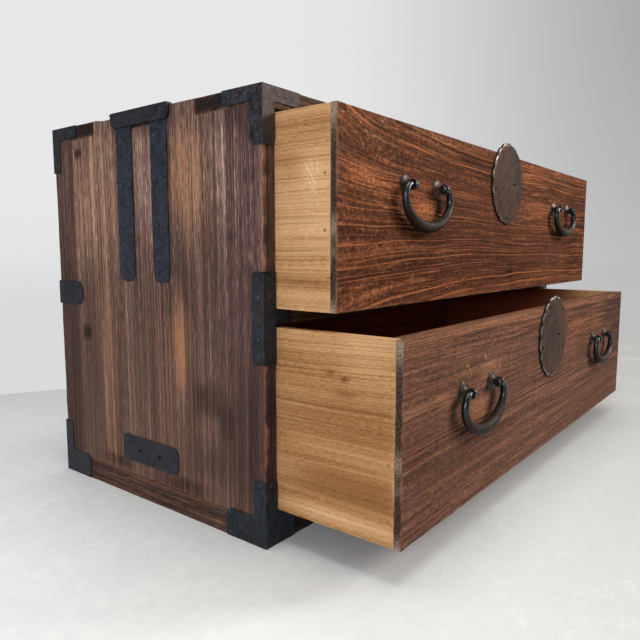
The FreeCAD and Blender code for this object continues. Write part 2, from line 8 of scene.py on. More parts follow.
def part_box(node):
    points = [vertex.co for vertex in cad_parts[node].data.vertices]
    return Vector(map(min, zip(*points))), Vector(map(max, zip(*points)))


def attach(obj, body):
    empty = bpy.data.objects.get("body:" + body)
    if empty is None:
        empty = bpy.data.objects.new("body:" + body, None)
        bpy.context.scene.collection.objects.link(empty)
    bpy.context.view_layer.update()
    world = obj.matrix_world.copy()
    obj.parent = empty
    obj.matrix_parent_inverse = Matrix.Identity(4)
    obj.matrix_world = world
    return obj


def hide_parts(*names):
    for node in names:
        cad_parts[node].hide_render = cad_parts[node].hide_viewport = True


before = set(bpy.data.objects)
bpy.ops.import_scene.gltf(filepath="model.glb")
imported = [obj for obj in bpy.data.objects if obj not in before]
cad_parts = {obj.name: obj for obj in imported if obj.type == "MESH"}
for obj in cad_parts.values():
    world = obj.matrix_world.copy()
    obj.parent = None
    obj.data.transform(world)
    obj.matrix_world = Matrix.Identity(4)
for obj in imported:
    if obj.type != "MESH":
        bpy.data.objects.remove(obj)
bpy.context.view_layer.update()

# Looks of the clothing chest: worn boards, forged irons and handles over the fixed CAD frame.
# Metres, in the CAD frame: +X right along the front, +Y back, +Z up.
# A colour is written as it looks on a screen, from 0 to 255.

MM = 0.001
TOUCH = 1e-6

CASE_LOW, CASE_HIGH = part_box("case_left_side")
FRONT_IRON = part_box("top_front_corner_left")[0].y
CASE_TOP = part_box("top_front_corner_left")[1].z


# Camera

CAMERA_PLACE = (-0.92366, -0.64872, 0.33084)
CAMERA_YAW, CAMERA_PITCH, CAMERA_ROLL = 51.809, 6.577, 0.047
FOCAL_PIXELS, FRAME_PIXELS, SENSOR = 609.09, 640, 36.0


def set_camera():
    """The camera of the photograph, from its place, heading, tilt and focal length in pixels."""
    yaw, pitch, roll = (math.radians(a) for a in (CAMERA_YAW, CAMERA_PITCH, CAMERA_ROLL))
    ahead = Vector((math.sin(yaw) * math.cos(pitch), math.cos(yaw) * math.cos(pitch), -math.sin(pitch)))
    level = Vector((math.cos(yaw), -math.sin(yaw), 0))
    upright = level.cross(ahead)
    right = level * math.cos(roll) + upright * math.sin(roll)
    up = upright * math.cos(roll) - level * math.sin(roll)
    data = bpy.data.cameras.new("camera")
    data.sensor_width = SENSOR
    data.lens = FOCAL_PIXELS / FRAME_PIXELS * SENSOR
    data.clip_start, data.clip_end = 0.05, 60
    camera = bpy.data.objects.new("camera", data)
    turn = Matrix((right, up, -ahead)).transposed().to_4x4()
    camera.matrix_world = Matrix.Translation(CAMERA_PLACE) @ turn
    bpy.context.scene.collection.objects.link(camera)
    bpy.context.scene.camera = camera


# Node trees of the finishes and the surroundings

class Reading:
    """A number that a finish gives at each point. Sums and products of such numbers are written plainly."""

    def __init__(self, finish, socket):
        self.finish, self.socket = finish, socket

    def __add__(self, other):
        return self.finish.math("ADD", self, other)

    def __sub__(self, other):
        return self.finish.math("SUBTRACT", self, other)

    def __rsub__(self, other):
        return self.finish.math("SUBTRACT", other, self)

    def __mul__(self, other):
        return self.finish.math("MULTIPLY", self, other)

    def __truediv__(self, other):
        return self.finish.math("DIVIDE", self, other)

    def __abs__(self):
        return self.finish.math("ABSOLUTE", self)

    __radd__ = __add__

    def clamp(self, low, high, out_low=0.0, out_high=1.0, kind="LINEAR"):
        """Runs from out_low to out_high as this number runs from low to high, and stays there beyond."""
        inputs = dict(enumerate((self, low, high, out_low, out_high)))
        return self.finish.number("ShaderNodeMapRange", inputs, interpolation_type=kind)


class Finish:
    """One node tree, built by plain calls: a new material's, or the surroundings'."""

    def __init__(self, name, tree=None):
        if tree is None:
            self.material = bpy.data.materials.new(name)
            self.material.use_nodes = True
            tree = self.material.node_tree
            self.shader = tree.nodes["Principled BSDF"]
        self.tree = tree
        self.coordinates = self.add("ShaderNodeTexCoord").outputs
        self.place = self.coordinates["Object"]

    def add(self, kind, inputs=None, **settings):
        made = self.tree.nodes.new(kind)
        for key, value in settings.items():
            setattr(made, key, value)
        for key, value in (inputs or {}).items():
            self.feed(made.inputs[key], value)
        return made

    def feed(self, socket, value):
        value = value.socket if isinstance(value, Reading) else value
        if isinstance(value, bpy.types.NodeSocket):
            self.tree.links.new(value, socket)
        elif socket.type == "RGBA":
            socket.default_value = (*paint(*value), 1)
        else:
            socket.default_value = value

    def number(self, kind, inputs=None, output=0, **settings):
        return Reading(self, self.add(kind, inputs, **settings).outputs[output])

    def math(self, operation, a, b=0.0):
        return self.number("ShaderNodeMath", {0: a, 1: b}, operation=operation)

    def mix(self, share, a, b, blend="MIX"):
        inputs = {0: share, 6: a, 7: b}
        return self.add("ShaderNodeMix", inputs, data_type="RGBA", blend_type=blend).outputs[2]

    def scaled(self, scale, shift=(0, 0, 0), vector=None):
        inputs = {"Vector": vector or self.place, "Scale": scale, "Location": shift}
        return self.add("ShaderNodeMapping", inputs).outputs[0]

    def noise(self, vector, scale=1.0, detail=3.0, rough=0.55, warp=0.0):
        inputs = {"Vector": vector, "Scale": scale, "Detail": detail, "Roughness": rough, "Distortion": warp}
        return self.number("ShaderNodeTexNoise", inputs)

    def parts(self, vector):
        return [Reading(self, part) for part in self.add("ShaderNodeSeparateXYZ", {0: vector}).outputs]

    def vector(self, *parts):
        return self.add("ShaderNodeCombineXYZ", dict(enumerate(parts))).outputs[0]

    def facing(self):
        return self.parts(self.add("ShaderNodeNewGeometry").outputs["True Normal"])

    def read(self, name):
        return self.number("ShaderNodeAttribute", output="Fac", attribute_name=name)

    def bump(self, height, depth):
        made = self.add("ShaderNodeBump", {"Strength": 1.0, "Distance": depth, "Height": height})
        self.give({"Normal": made.outputs[0]})

    def give(self, values):
        for key, value in values.items():
            self.feed(self.shader.inputs[key], value)


def paint(red, green, blue):
    """A colour from 0 to 255, as linear light."""
    shown = np.array([red, green, blue]) / 255
    return tuple(np.where(shown <= 0.04045, shown / 12.92, ((shown + 0.055) / 1.055) ** 2.4))


# Plain studio: floor, backdrop and lamps

WALL_POINTS = ((-0.303, 0.771), (1.711, -0.172))
# The point and way from which the painted shade of the wall and the floor runs
ROOM_POINT, ROOM_WAY = (0.0, 0.0, 0.35), math.radians(51.8)
FADE_NEAR, FADE_FAR, FLOOR_REACH = 2.2, 4.5, 16.0
LAMPS = (
    ("window", (-3.1, -1.3, 1.05), (0, 0, 0.3), 1.2, 58, (234, 243, 255)),
    ("key", (2.9, -2.8, 2.0), (0, 0, 0.2), 1.2, 138, (255, 248, 241)),
    ("overhead", (-0.3, -0.4, 3.2), (-0.3, -0.4, 0), 2.0, 60, (255, 254, 250)),
)


def wall_shade(made, way):
    """The pale wall's colour towards a direction, with painted shade: slowly darker across the room's own
    fixed way, and up.
    """
    way = made.add("ShaderNodeVectorMath", {0: way}, operation="NORMALIZE").outputs[0]
    x, y, up = made.parts(way)
    aside = x * math.cos(ROOM_WAY) - y * math.sin(ROOM_WAY)
    plain = made.mix(up.clamp(-0.12, 0.06, kind="SMOOTHSTEP"), (217, 218, 219), (231, 231, 232))
    dim = made.mix(up.clamp(-0.08, 0.36), (190, 190, 191), (158, 158, 159))
    return made.mix(aside.clamp(-0.05, 0.56, kind="SMOOTHSTEP"), plain, dim)


def floor_finish():
    """Pale worn concrete, painted darker towards the wall and to one side as shade, that ends in a plain
    pale wall behind the chest and fades into it far away; that wall is painted on the floor as a glow.
    """
    floor = Finish("floor_concrete")
    (x0, y0), (x1, y1) = WALL_POINTS
    x, y, _ = floor.parts(floor.place)
    beyond = ((y - y0) * (x1 - x0) - (x - x0) * (y1 - y0)) / math.hypot(x1 - x0, y1 - y0)
    aside = x * math.cos(ROOM_WAY) - y * math.sin(ROOM_WAY)
    # Painted shade: the floor darkens towards the wall and across the room's way, in place of the light's
    # fall-off
    tone = floor.mix(beyond.clamp(-0.75, 0.0), (233, 234, 231), (198, 199, 198))
    tone = floor.mix(aside.clamp(-0.35, 0.75), tone, (160, 160, 159))
    cloud = floor.noise(floor.place, 5.0, 6, 0.65)
    tone = floor.mix(cloud.clamp(0.38, 0.62, 0.0, 0.26), tone, (196, 197, 196))
    grit = floor.noise(floor.place, 60.0, 5, 0.7)
    tone = floor.mix(grit.clamp(0.40, 0.62, 0.14, 0.0), tone, (176, 177, 180))
    hairline = abs(floor.noise(floor.place, 2.6, 5, 0.6, 0.6) - 0.5)
    tone = floor.mix(hairline.clamp(0.0, 0.003, 0.16, 0.0), tone, (248, 248, 248))
    floor.give({"Base Color": tone, "Roughness": 0.75, "Specular IOR Level": 0.25})
    floor.bump(cloud, 0.5 * MM)
    # The wall's part of the floor and the far floor glow with the painted wall and its painted shade, for
    # camera rays only
    way = floor.add("ShaderNodeVectorMath", {0: floor.place, 1: ROOM_POINT}, operation="SUBTRACT").outputs[0]
    glow = floor.add("ShaderNodeEmission", {"Color": wall_shade(floor, way)}).outputs[0]
    seen = floor.number("ShaderNodeLightPath", output="Is Camera Ray")
    far = floor.number("ShaderNodeVectorMath", {0: floor.place}, "Value", operation="LENGTH")
    wall = floor.math("MAXIMUM", beyond.clamp(0, 4 * MM), far.clamp(FADE_NEAR, FADE_FAR, kind="SMOOTHSTEP"))
    sides = {0: wall * seen, 1: floor.shader.outputs[0], 2: glow}
    shown = floor.add("ShaderNodeMixShader", sides).outputs[0]
    floor.feed(floor.tree.nodes["Material Output"].inputs["Surface"], shown)
    return floor.material


def set_stage():
    """A wide flat floor, the pale surroundings and three soft lamps."""
    data = bpy.data.meshes.new("floor")
    corners = [(x * FLOOR_REACH, y * FLOOR_REACH, 0) for x, y in ((-1, -1), (1, -1), (1, 1), (-1, 1))]
    data.from_pydata(corners, [], [(0, 1, 2, 3)])
    floor = bpy.data.objects.new("floor", data)
    floor.data.materials.append(floor_finish())
    bpy.context.scene.collection.objects.link(floor)

    world = bpy.data.worlds.new("surroundings")
    bpy.context.scene.world = world
    world.use_nodes = True
    sky = Finish("surroundings", world.node_tree)
    way = sky.coordinates["Generated"]
    lit = sky.tree.nodes["Background"]
    sky.feed(lit.inputs["Color"], (240, 240, 240))
    sky.feed(lit.inputs["Strength"], sky.parts(way)[2].clamp(-0.1, 0.7, 0.26, 0.60))
    # Camera rays see the painted wall with its painted shade
    seen = sky.add("ShaderNodeBackground", {"Color": wall_shade(sky, way)}).outputs[0]
    rays = sky.add("ShaderNodeLightPath").outputs
    either = sky.math("MAXIMUM", rays["Is Camera Ray"], rays["Is Transmission Ray"])
    shown = sky.add("ShaderNodeMixShader", {0: either, 1: lit.outputs[0], 2: seen}).outputs[0]
    sky.feed(sky.tree.nodes["World Output"].inputs["Surface"], shown)
    for values in LAMPS:
        lamp(*values)


def lamp(name, place, aim, size, watts, colour):
    """A square soft lamp that faces its aim."""
    data = bpy.data.lights.new(name, "AREA")
    data.shape, data.size, data.energy, data.color = "SQUARE", size, watts, paint(*colour)
    made = bpy.data.objects.new(name, data)
    made.location = place
    made.rotation_euler = (Vector(aim) - Vector(place)).to_track_quat("-Z", "Y").to_euler()
    bpy.context.scene.collection.objects.link(made)


# Shapes

def points_of(u, v):
    """Grid points as rows of three numbers, the third zero, in the shape of the grid."""
    return np.stack([u, v, np.zeros_like(u)], -1)


def ripple(points, size, seed, waves=8):
    """Smooth unevenness of about -1 to 1: sine waves of lengths near size, in seeded directions."""
    draw = np.random.default_rng(seed)
    total = np.zeros(points.shape[:-1])
    for _ in range(waves):
        way = draw.normal(size=3)
        way *= 2 * math.pi / (size * draw.uniform(0.6, 1.7) * np.linalg.norm(way))
        total += np.sin(points @ way + draw.uniform(0, 2 * math.pi))
    return total / math.sqrt(waves)


def hill(distance, reach, power=2):
    """A smooth hill: 1 at distance 0, falling to about a third at the reach."""
    return np.exp(-(distance / reach) ** power)


def make_piece(name, body, points, quads, material, replaces=(), marks=None, crease=32):
    """A mesh object from arrays of points and four-cornered faces, riding on its CAD body."""
    corners = points[quads]
    turned = np.cross(corners[:, 2] - corners[:, 0], corners[:, 3] - corners[:, 1])
    if np.einsum("ij,ij->", corners.mean(1) - points.mean(0), turned) < 0:
        quads = quads[:, ::-1]
    used, quads = np.unique(quads, return_inverse=True)
    quads = quads.reshape(-1, 4)
    data = bpy.data.meshes.new(name)
    data.vertices.add(len(used))
    data.vertices.foreach_set("co", points[used].astype(np.float32).ravel())
    data.loops.add(quads.size)
    data.loops.foreach_set("vertex_index", quads.astype(np.int32).ravel())
    data.polygons.add(len(quads))
    data.polygons.foreach_set("loop_start", np.arange(0, quads.size, 4, dtype=np.int32))
    data.update(calc_edges=True)
    data.validate()
    data.polygons.foreach_set("use_smooth", np.ones(len(data.polygons), bool))
    data.set_sharp_from_angle(angle=math.radians(crease))
    for mark, values in (marks or {}).items():
        layer = data.attributes.new(mark, "FLOAT", "POINT")
        layer.data.foreach_set("value", values[used].astype(np.float32))
    data.materials.append(material)
    made = bpy.data.objects.new(name, data)
    bpy.context.scene.collection.objects.link(made)
    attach(made, body)
    if replaces:
        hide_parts(*replaces)


ARRIS_STEPS = np.array([0, 0.12, 0.35, 0.7, 1.2, 2.2]) * MM
EDGE_SHARES = (0.1, 0.25, 0.5, 0.75, 0.9)


def grid_lines(low, high, breaks, step):
    """Lines every step from low to high, crowded beside the ends and breaks for round arrises."""
    breaks = np.array([low, high, *breaks])
    even = np.linspace(low, high, max(2, round((high - low) / step)) + 1)
    clear = np.abs(even[:, None] - breaks[None]).min(1) > 1.5 * ARRIS_STEPS[-1]
    crowd = (breaks[:, None] + np.concatenate([-ARRIS_STEPS, ARRIS_STEPS])[None]).ravel()
    lines = np.unique(np.round(np.concatenate([even[clear], crowd]), 6))
    return lines[(lines >= low - 1e-9) & (lines <= high + 1e-9)]


def outline_distance(u, v, solid, us, vs):
    """Distance of each grid point from the nearest stretch of the board's outline."""
    nearest = np.full(u.shape, 1.0)
    padded = np.pad(solid, 1)
    for lines, ends, a, b, cells in ((us, vs, u, v, padded), (vs, us, v, u, padded.T)):
        change = cells[1:, 1:-1] != cells[:-1, 1:-1]
        for i in np.flatnonzero(change.any(1)):
            runs = np.flatnonzero(np.diff(np.concatenate([[0], change[i].astype(int), [0]])))
            for start, stop in runs.reshape(-1, 2):
                past = np.maximum(np.maximum(ends[start] - b, b - ends[stop]), 0)
                nearest = np.minimum(nearest, np.hypot(a - lines[i], past))
    return nearest


def board(name, body, material, order, solids, faces, replaces=(), holes=(), relief=None,
          bend=None, marks=None, step=4 * MM, arris=0.9 * MM, seed=1, splits=(), cross_splits=()):
    """A worn board as two height fields over one grid, joined by rows of faces round its outline.

    order gives the axes of u, v and w. A point of the shown face is w = face + drop + relief(u, v) inwards.
    The drop of a round arris at distance d from the outline is r - sqrt(r^2 - (r - d)^2), where r wanders.
    """
    solids = np.array(solids, float)
    cuts = np.array([*solids, *holes], float)
    us = grid_lines(solids[:, 0].min(), solids[:, 1].max(), [*cuts[:, :2].ravel(), *splits], step)
    vs = grid_lines(solids[:, 2].min(), solids[:, 3].max(), [*cuts[:, 2:].ravel(), *cross_splits], step)
    mu, mv = np.meshgrid((us[1:] + us[:-1]) / 2, (vs[1:] + vs[:-1]) / 2, indexing="ij")
    inside = lambda box: (mu > box[0]) & (mu < box[1]) & (mv > box[2]) & (mv < box[3])
    solid = np.any([inside(box) for box in solids], axis=0)
    for box in holes:
        solid &= ~inside(box)
    u, v = (a.ravel() for a in np.meshgrid(us, vs, indexing="ij"))
    far = outline_distance(u, v, solid, us, vs)
    face, rear = faces
    inward = math.copysign(1, rear - face)
    flat = points_of(u, v)

    def drop(side):
        chips = np.maximum(ripple(flat, 9 * MM, seed + side + 5) - 0.8, 0)
        radius = arris * (1 + 0.5 * ripple(flat, 60 * MM, seed + side) + 0.4 * chips)
        radius = np.clip(radius, 0.35 * arris, 2.2 * arris)
        inner = np.clip(radius - far, 0, radius)
        return radius - np.sqrt(radius ** 2 - inner ** 2)

    shown = face + inward * (drop(0) + (relief(u, v) if relief else 0))
    hidden = rear - inward * drop(2)
    rows = [shown, *(shown + (hidden - shown) * share for share in EDGE_SHARES), hidden]
    points = np.concatenate([np.stack([u, v, w], 1) for w in rows])
    count = len(u)
    spots = np.arange(count).reshape(len(us), len(vs))
    cell = np.stack([spots[:-1, :-1], spots[1:, :-1], spots[1:, 1:], spots[:-1, 1:]], -1)
    tops = cell[solid]
    quads = [tops, tops[:, ::-1] + count * (len(rows) - 1)]
    padded = np.pad(solid, 1)
    neighbours = (padded[1:-1, :-2], padded[2:, 1:-1], padded[1:-1, 2:], padded[:-2, 1:-1])
    for k, beside in enumerate(neighbours):
        open_side = solid & ~beside
        a, b = cell[open_side][:, k], cell[open_side][:, (k + 1) % 4]
        for row in range(len(rows) - 1):
            low, high = count * row, count * (row + 1)
            quads.append(np.stack([a + low, a + high, b + high, b + low], 1))
    deep = np.abs(points[:, 2] - face)
    to_face = np.minimum(deep, abs(rear - face) - deep)
    far = np.hypot(np.tile(far, len(rows)), np.maximum(to_face - 0.3 * MM, 0))
    layers = {"worn": hill(far, 1.5 * MM, 1)}
    for key, values in (marks(*points.T) if marks else {}).items():
        layers[key] = layers.get(key, 1) * values
    placed = np.empty_like(points)
    placed[:, order] = points
    if bend:
        placed = bend(placed)
    make_piece(name, body, placed, np.concatenate(quads), material, replaces, layers)


def wrapped(rings, around):
    """Faces between neighbouring closed rings of points."""
    spots = np.arange(rings * around).reshape(rings, around)
    beside = np.roll(spots, -1, axis=1)
    return np.stack([spots[:-1], spots[1:], beside[1:], beside[:-1]], -1).reshape(-1, 4)


def joined(parts):
    """One set of points and faces from several."""
    counts = np.cumsum([0] + [len(points) for points, _ in parts])
    return (np.concatenate([points for points, _ in parts]),
            np.concatenate([quads + count for (_, quads), count in zip(parts, counts)]))


def swept(path, radii, section, around=28):
    """A tube along a path in the plane y = constant: rings of the radii, shaped by section(turn, ring)."""
    ahead = np.empty_like(path)
    ahead[1:-1] = path[2:] - path[:-2]
    ahead[0], ahead[-1] = path[1] - path[0], path[-1] - path[-2]
    ahead /= np.linalg.norm(ahead, axis=1)[:, None]
    side = np.array([0.0, 1.0, 0.0])
    out = np.cross(ahead, side)
    turn = np.linspace(0, 2 * math.pi, around, endpoint=False)
    ring = np.cos(turn)[None, :, None] * side + np.sin(turn)[None, :, None] * out[:, None, :]
    size = radii[:, None] * section(turn[None], np.arange(len(path))[:, None])
    points = path[:, None, :] + ring * size[:, :, None]
    return points.reshape(-1, 3), wrapped(len(path), around)


def lathe(profile, middle, around=48, seed=0, wobble=0.0):
    """A turned shape: profile points (radius, height towards the viewer) carried round an axis along -Y."""
    reach, height = (np.array(profile) * MM).T[:, :, None]
    turn = np.linspace(0, 2 * math.pi, around, endpoint=False)
    reach = reach * (1 + wobble * np.sin(3 * turn + seed) * 0.5 + wobble * np.sin(5 * turn + 2 * seed))
    across, up = reach * np.cos(turn), reach * np.sin(turn)
    points = np.stack([middle[0] + across, middle[1] - height + 0 * reach, middle[2] + up], -1)
    return points.reshape(-1, 3), wrapped(len(profile), around)


def patches(table, u, v):
    """Soft oval patches on a board: each is (u, v, half width, half height, tone, warmth) in mm."""
    tone, warm = np.zeros_like(u), np.zeros_like(u)
    for cu, cv, ru, rv, light, heat in table:
        share = hill(np.abs(u / MM - cu), ru, 3) * hill(np.abs(v / MM - cv), rv, 3)
        tone += light * share
        warm += heat * share
    return {"tone": tone, "warm": warm}


# Wood finishes

# Scratches, each from one point to another in mm: along the grain from an origin, and up from it
SIDE_SCRATCHES = (
    ((-38, 154), (-55, 125)), ((-44, 157), (-57, 130)), ((-49, 140), (-58, 102)), ((-41, 141), (-52, 118)),
    ((-54, 160), (-56, 136)),
)
FRONT_SCRATCHES = (
    ((-299, 204), (-290, 200)), ((-290, 200), (-283, 188)), ((-200, 201), (-199, 178)),
    ((-178, 196), (-177, 186)), ((-246, 208), (-240, 201)),
)
BLEACHED, STAINED = (150, 128, 112), (140, 66, 40)


def scratched(made, shade, along, origin, width, colour, table):
    """Fine scratches on the near face of a board.

    A scratch's share falls to none as the distance from its line grows to width, and towards both ends.
    """
    place = made.parts(made.place)
    broken = made.noise(made.place, 240, 2, 0.6).clamp(0.38, 0.54, 0, 0.55)
    broken *= made.math("LESS_THAN", place[1 - along], 0.0)
    for ends in table:
        start, stop = (np.array(origin) + np.array(spot) * MM for spot in ends)
        run, rise = stop - start
        length = math.hypot(run, rise)
        u, up = place[along] - start[0], place[2] - start[1]
        ahead = (u * run + up * rise) / length ** 2
        aside = (u * rise - up * run) / length
        share = abs(aside).clamp(0.2 * width, width, 1, 0) * ahead.clamp(0, 0.2) * ahead.clamp(0.7, 1, 1, 0)
        shade = made.mix(share * broken, shade, colour)
    return shade


def wood(name, along, tones, line, edge, end, contrast, spacing=6.0, lines=0.3, bands=0.0, saw=0.0,
         light=0.75, waviness=1.0, fan=None, tilt=0.0, base=0.5, rough=0.66, shine=0.05, relief=0.3,
         seed=0.0, chill=None, hair=(15, 320), fleck=(80, 640), scratches=None):
    """Aged wood whose grain runs along one axis.

    A level goes through the tones from dark to light, at 0, 0.3, 0.5, light and 1. It is the sum of the tone
    mark and of noises stretched along the grain, whose weights are contrast: broad streaks, streaks, hair
    lines and flecks. hair and fleck are waves per metre along and across the grain. Growth lines are where
    the distance across the grain, plus slow wandering, over the spacing has a small fraction.
    fan = (height, stop, pull) draws the grain together towards +X: across * (1 - pull * min(x - stop, 0)^2).
    Marks: tone lightens, calm weakens the figure, warm goes to the line's colour and below 0 to the chill,
    worn bares the edge's colour, bleach pales the end grain and stain darkens.
    """
    made = Finish(name)
    stretch = lambda far, near: tuple(far if axis == along else near for axis in range(3))
    place = made.parts(made.place)
    first, second = {0: (2, 1), 1: (2, 0), 2: (1, 0)}[along]
    depth = place[first]
    if fan:
        height, stop, pull = fan
        short = made.math("MINIMUM", place[0] - stop, 0.0)
        depth = (depth - height) * (1.0 - short * short * pull)
    shift = (seed * 3.1, seed * 5.3, seed * 2.3)
    wander = made.noise(made.scaled(stretch(1.8, 7.0), shift), 1.0, 3, 0.5)
    wave = made.noise(made.scaled(stretch(9.0, 24.0), shift), 1.0, 2, 0.5)
    depth = depth + place[along] * tilt + place[second] * 0.35
    depth = depth + wander * (0.050 * waviness) + wave * (0.004 * waviness)
    flow = made.vector(*(depth if axis == first else place[axis] for axis in range(3)))
    drawn = lambda far, near: made.scaled(stretch(far, near), shift, flow)
    streak = lambda far, near, *figure: made.noise(drawn(far, near), 1.0, *figure)

    ring = depth / (spacing * MM)
    ring = ring + made.noise(made.vector(ring), 0.4, 2, 0.6) * 4.0
    phase = made.math("FRACT", ring)
    which = made.number("ShaderNodeTexWhiteNoise", {"W": made.math("FLOOR", ring)}, noise_dimensions="1D")
    thread = phase.clamp(0.0, 0.06) * phase.clamp(0.12, 0.34, 1, 0) * which.clamp(0.1, 0.9, 0.15, 1.0)
    thread *= streak(12, 160, 4, 0.7).clamp(0.38, 0.54, 0.2, 1)
    groove = phase.clamp(0.80, 0.95) * which.clamp(0.2, 0.8, 0.3, 1.0)

    hairs, flecks = streak(*hair, 3, 0.6), streak(*fleck, 2, 0.7)
    layers = (streak(1.1, 13, 3, 0.5), streak(2.6, 90, 4, 0.6), hairs, flecks)
    figure = sum(layer * share for share, layer in zip(contrast, layers)) - 0.5 * sum(contrast)
    level = figure * made.read("calm").clamp(0.0, 1.0, 1.0, 0.6) + made.read("tone") * 0.32 + base
    ramp = made.add("ShaderNodeValToRGB", {0: level})
    elements = ramp.color_ramp.elements
    while len(elements) < len(tones):
        elements.new(0.5)
    for element, spot, tone in zip(elements, (0.0, 0.3, 0.5, light, 1.0), tones):
        element.position = spot
        element.color = (*paint(*tone), 1)
    shade = ramp.outputs[0]

    warmth = made.read("warm")
    heat = (warmth + (hairs - 0.5) * 2.2).clamp(0.1, 0.9) * flecks.clamp(0.35, 0.60, 0.25, 1)
    if bands:
        band = streak(2.6, 130, 3, 0.55).clamp(0.50, 0.62, 0, bands) * streak(3, 8, 2, 0.5).clamp(0.38, 0.58)
        heat = made.math("MAXIMUM", heat, band * flecks.clamp(0.38, 0.58, 0.15, 1))
    shade = made.mix(heat, shade, line)
    if chill:
        cool = streak(1.7, 22).clamp(0.44, 0.62, 0.0, 0.5) - warmth
        shade = made.mix(cool.clamp(0.0, 1.0, 0.0, 0.9), shade, chill, "MULTIPLY")
    shade = made.mix(groove * (0.7 * lines), shade, tones[0])
    shade = made.mix(thread * lines, shade, line)
    if saw:
        cut = streak(330, 9, 3, 0.7)
        shade = made.mix(cut.clamp(0.54, 0.70, 0, saw), shade, line)
        shade = made.mix(cut.clamp(0.30, 0.46, saw, 0), shade, tones[0])
    pores = made.noise(made.scaled((420, 420, 420)), 1.0, 3, 0.7)
    cut_end = made.mix(pores.clamp(0.38, 0.66), *end)
    cut_end = made.mix(made.read("bleach") * pores.clamp(0.40, 0.56, 0.35, 1), cut_end, BLEACHED)
    shade = made.mix(abs(made.facing()[along]).clamp(0.6, 0.8), shade, cut_end)
    wear = made.read("worn") * made.noise(made.place, 70, 3, 0.65).clamp(0.42, 0.60)
    shade = made.mix(wear, shade, edge)
    shade = made.mix(made.read("stain"), shade, STAINED)
    if scratches:
        shade = scratched(made, shade, along, *scratches)
    gloss = flecks.clamp(0.3, 0.7, rough - 0.08, rough + 0.12)
    made.give({"Base Color": shade, "Roughness": gloss, "Specular IOR Level": shine})
    made.bump(flecks - groove + thread * 0.6 + hairs * 0.8, relief * MM)
    return made.material


# Iron finishes

def plain_iron(name, dark, light, rust, gloss, metal, shine=0.5, scale=1.0, belly=None, rim_sheen_and_pit_shade=False,
               extra=None):
    """Forged iron with a worked surface: hammer marks, mottled scale and a little brown.

    Marks: belly goes to its own duller colour, a rim mark bares bright metal under a painted highlight, and
    a pit mark paints shade black. extra(made, shade) adds to the colour.
    """
    made = Finish(name)
    mottle = made.noise(made.place, 130 * scale, 5, 0.7)
    blotch = made.noise(made.place, 22 * scale, 3, 0.5)
    grain = made.noise(made.place, 900, 3, 0.6)
    specks = made.noise(made.place, 420, 2, 0.6)
    shade = made.mix(mottle.clamp(0.36, 0.64), dark, light)
    shade = made.mix(specks.clamp(0.62, 0.76, 0, 0.5), shade, (96, 98, 104))
    shade = made.mix(specks.clamp(0.26, 0.38, 0.6, 0), shade, (6, 6, 8))
    shade = made.mix((blotch + grain * 0.2).clamp(0.5, 0.72, 0, rust), shade, (84, 56, 42))
    rough = mottle.clamp(0.3, 0.7, gloss - 0.08, gloss + 0.14)
    if belly:
        low = made.read("belly")
        shade = made.mix(low * blotch.clamp(0.35, 0.55, 0.5, 1), shade, belly)
        rough = rough + low * 0.28
        shine = low * (-0.8 * shine) + shine
    if extra:
        shade = extra(made, shade)
    # Painted highlight on the plate's rim, over its bared metal, and painted shade, black, in its pits
    if rim_sheen_and_pit_shade:
        bare_rim_sheen = made.read("bare_rim_sheen")
        shade = made.mix(bare_rim_sheen * 0.8, shade, (150, 142, 134))
        shade = made.mix(made.read("shaded_pit"), shade, (9, 7, 6))
        rough = rough - bare_rim_sheen * 0.16
        metal = bare_rim_sheen.clamp(0, 1, metal, 0.9)
    made.give({"Base Color": shade, "Metallic": metal, "Specular IOR Level": shine, "Roughness": rough})
    spread = {"Vector": made.place, "Scale": 120 * scale}
    dents = made.number("ShaderNodeTexVoronoi", spread, "Distance", feature="SMOOTH_F1")
    made.bump(mottle + dents * 0.5 + grain * 0.12, 0.3 * MM)
    return made.material


CORNER_BROWN_FROM, CORNER_BROWN_TO = 445 * MM, 475 * MM
FOLD_BACK, FOLD_DOWN = 18 * MM, 16 * MM


def corner_tones(made, shade):
    """The top front corner: browner where it faces forward and up high, and the fold of its corner joint."""
    _, y, z = made.parts(made.place)
    aside, behind, _ = made.facing()
    high = (z + made.noise(made.place, 60, 3, 0.6) * 0.03).clamp(CORNER_BROWN_FROM, CORNER_BROWN_TO)
    shade = made.mix((behind * -1.0).clamp(0.5, 0.8) * high, shade, (62, 47, 42))
    past = (y - FRONT_IRON) - (CASE_TOP - z) * (FOLD_BACK / FOLD_DOWN)
    fold = abs(past).clamp(0.3 * MM, 0.9 * MM, 0.9, 0.0) * abs(aside).clamp(0.5, 0.8)
    fold *= z.clamp(CASE_TOP - FOLD_DOWN - MM, CASE_TOP - FOLD_DOWN)
    return made.mix(fold, shade, (10, 10, 12))


STRAP_HOLES = ((242, 409), (244, 304), (180, 316), (170, 472))


def strap_tones(made, shade):
    """Small empty nail holes in the straps, at places from the front and up in mm."""
    flat = made.vector(*made.parts(made.place)[1:])
    for back, up in STRAP_HOLES:
        spot = (FRONT_IRON + back * MM, up * MM, 0)
        far = made.number("ShaderNodeVectorMath", {0: flat, 1: spot}, "Value", operation="DISTANCE")
        shade = made.mix(far.clamp(0.9 * MM, 1.7 * MM, 1, 0), shade, (6, 6, 7))
    return shade


# The tones of each wood from dark to light, the colours of its lines, and those of its end grain

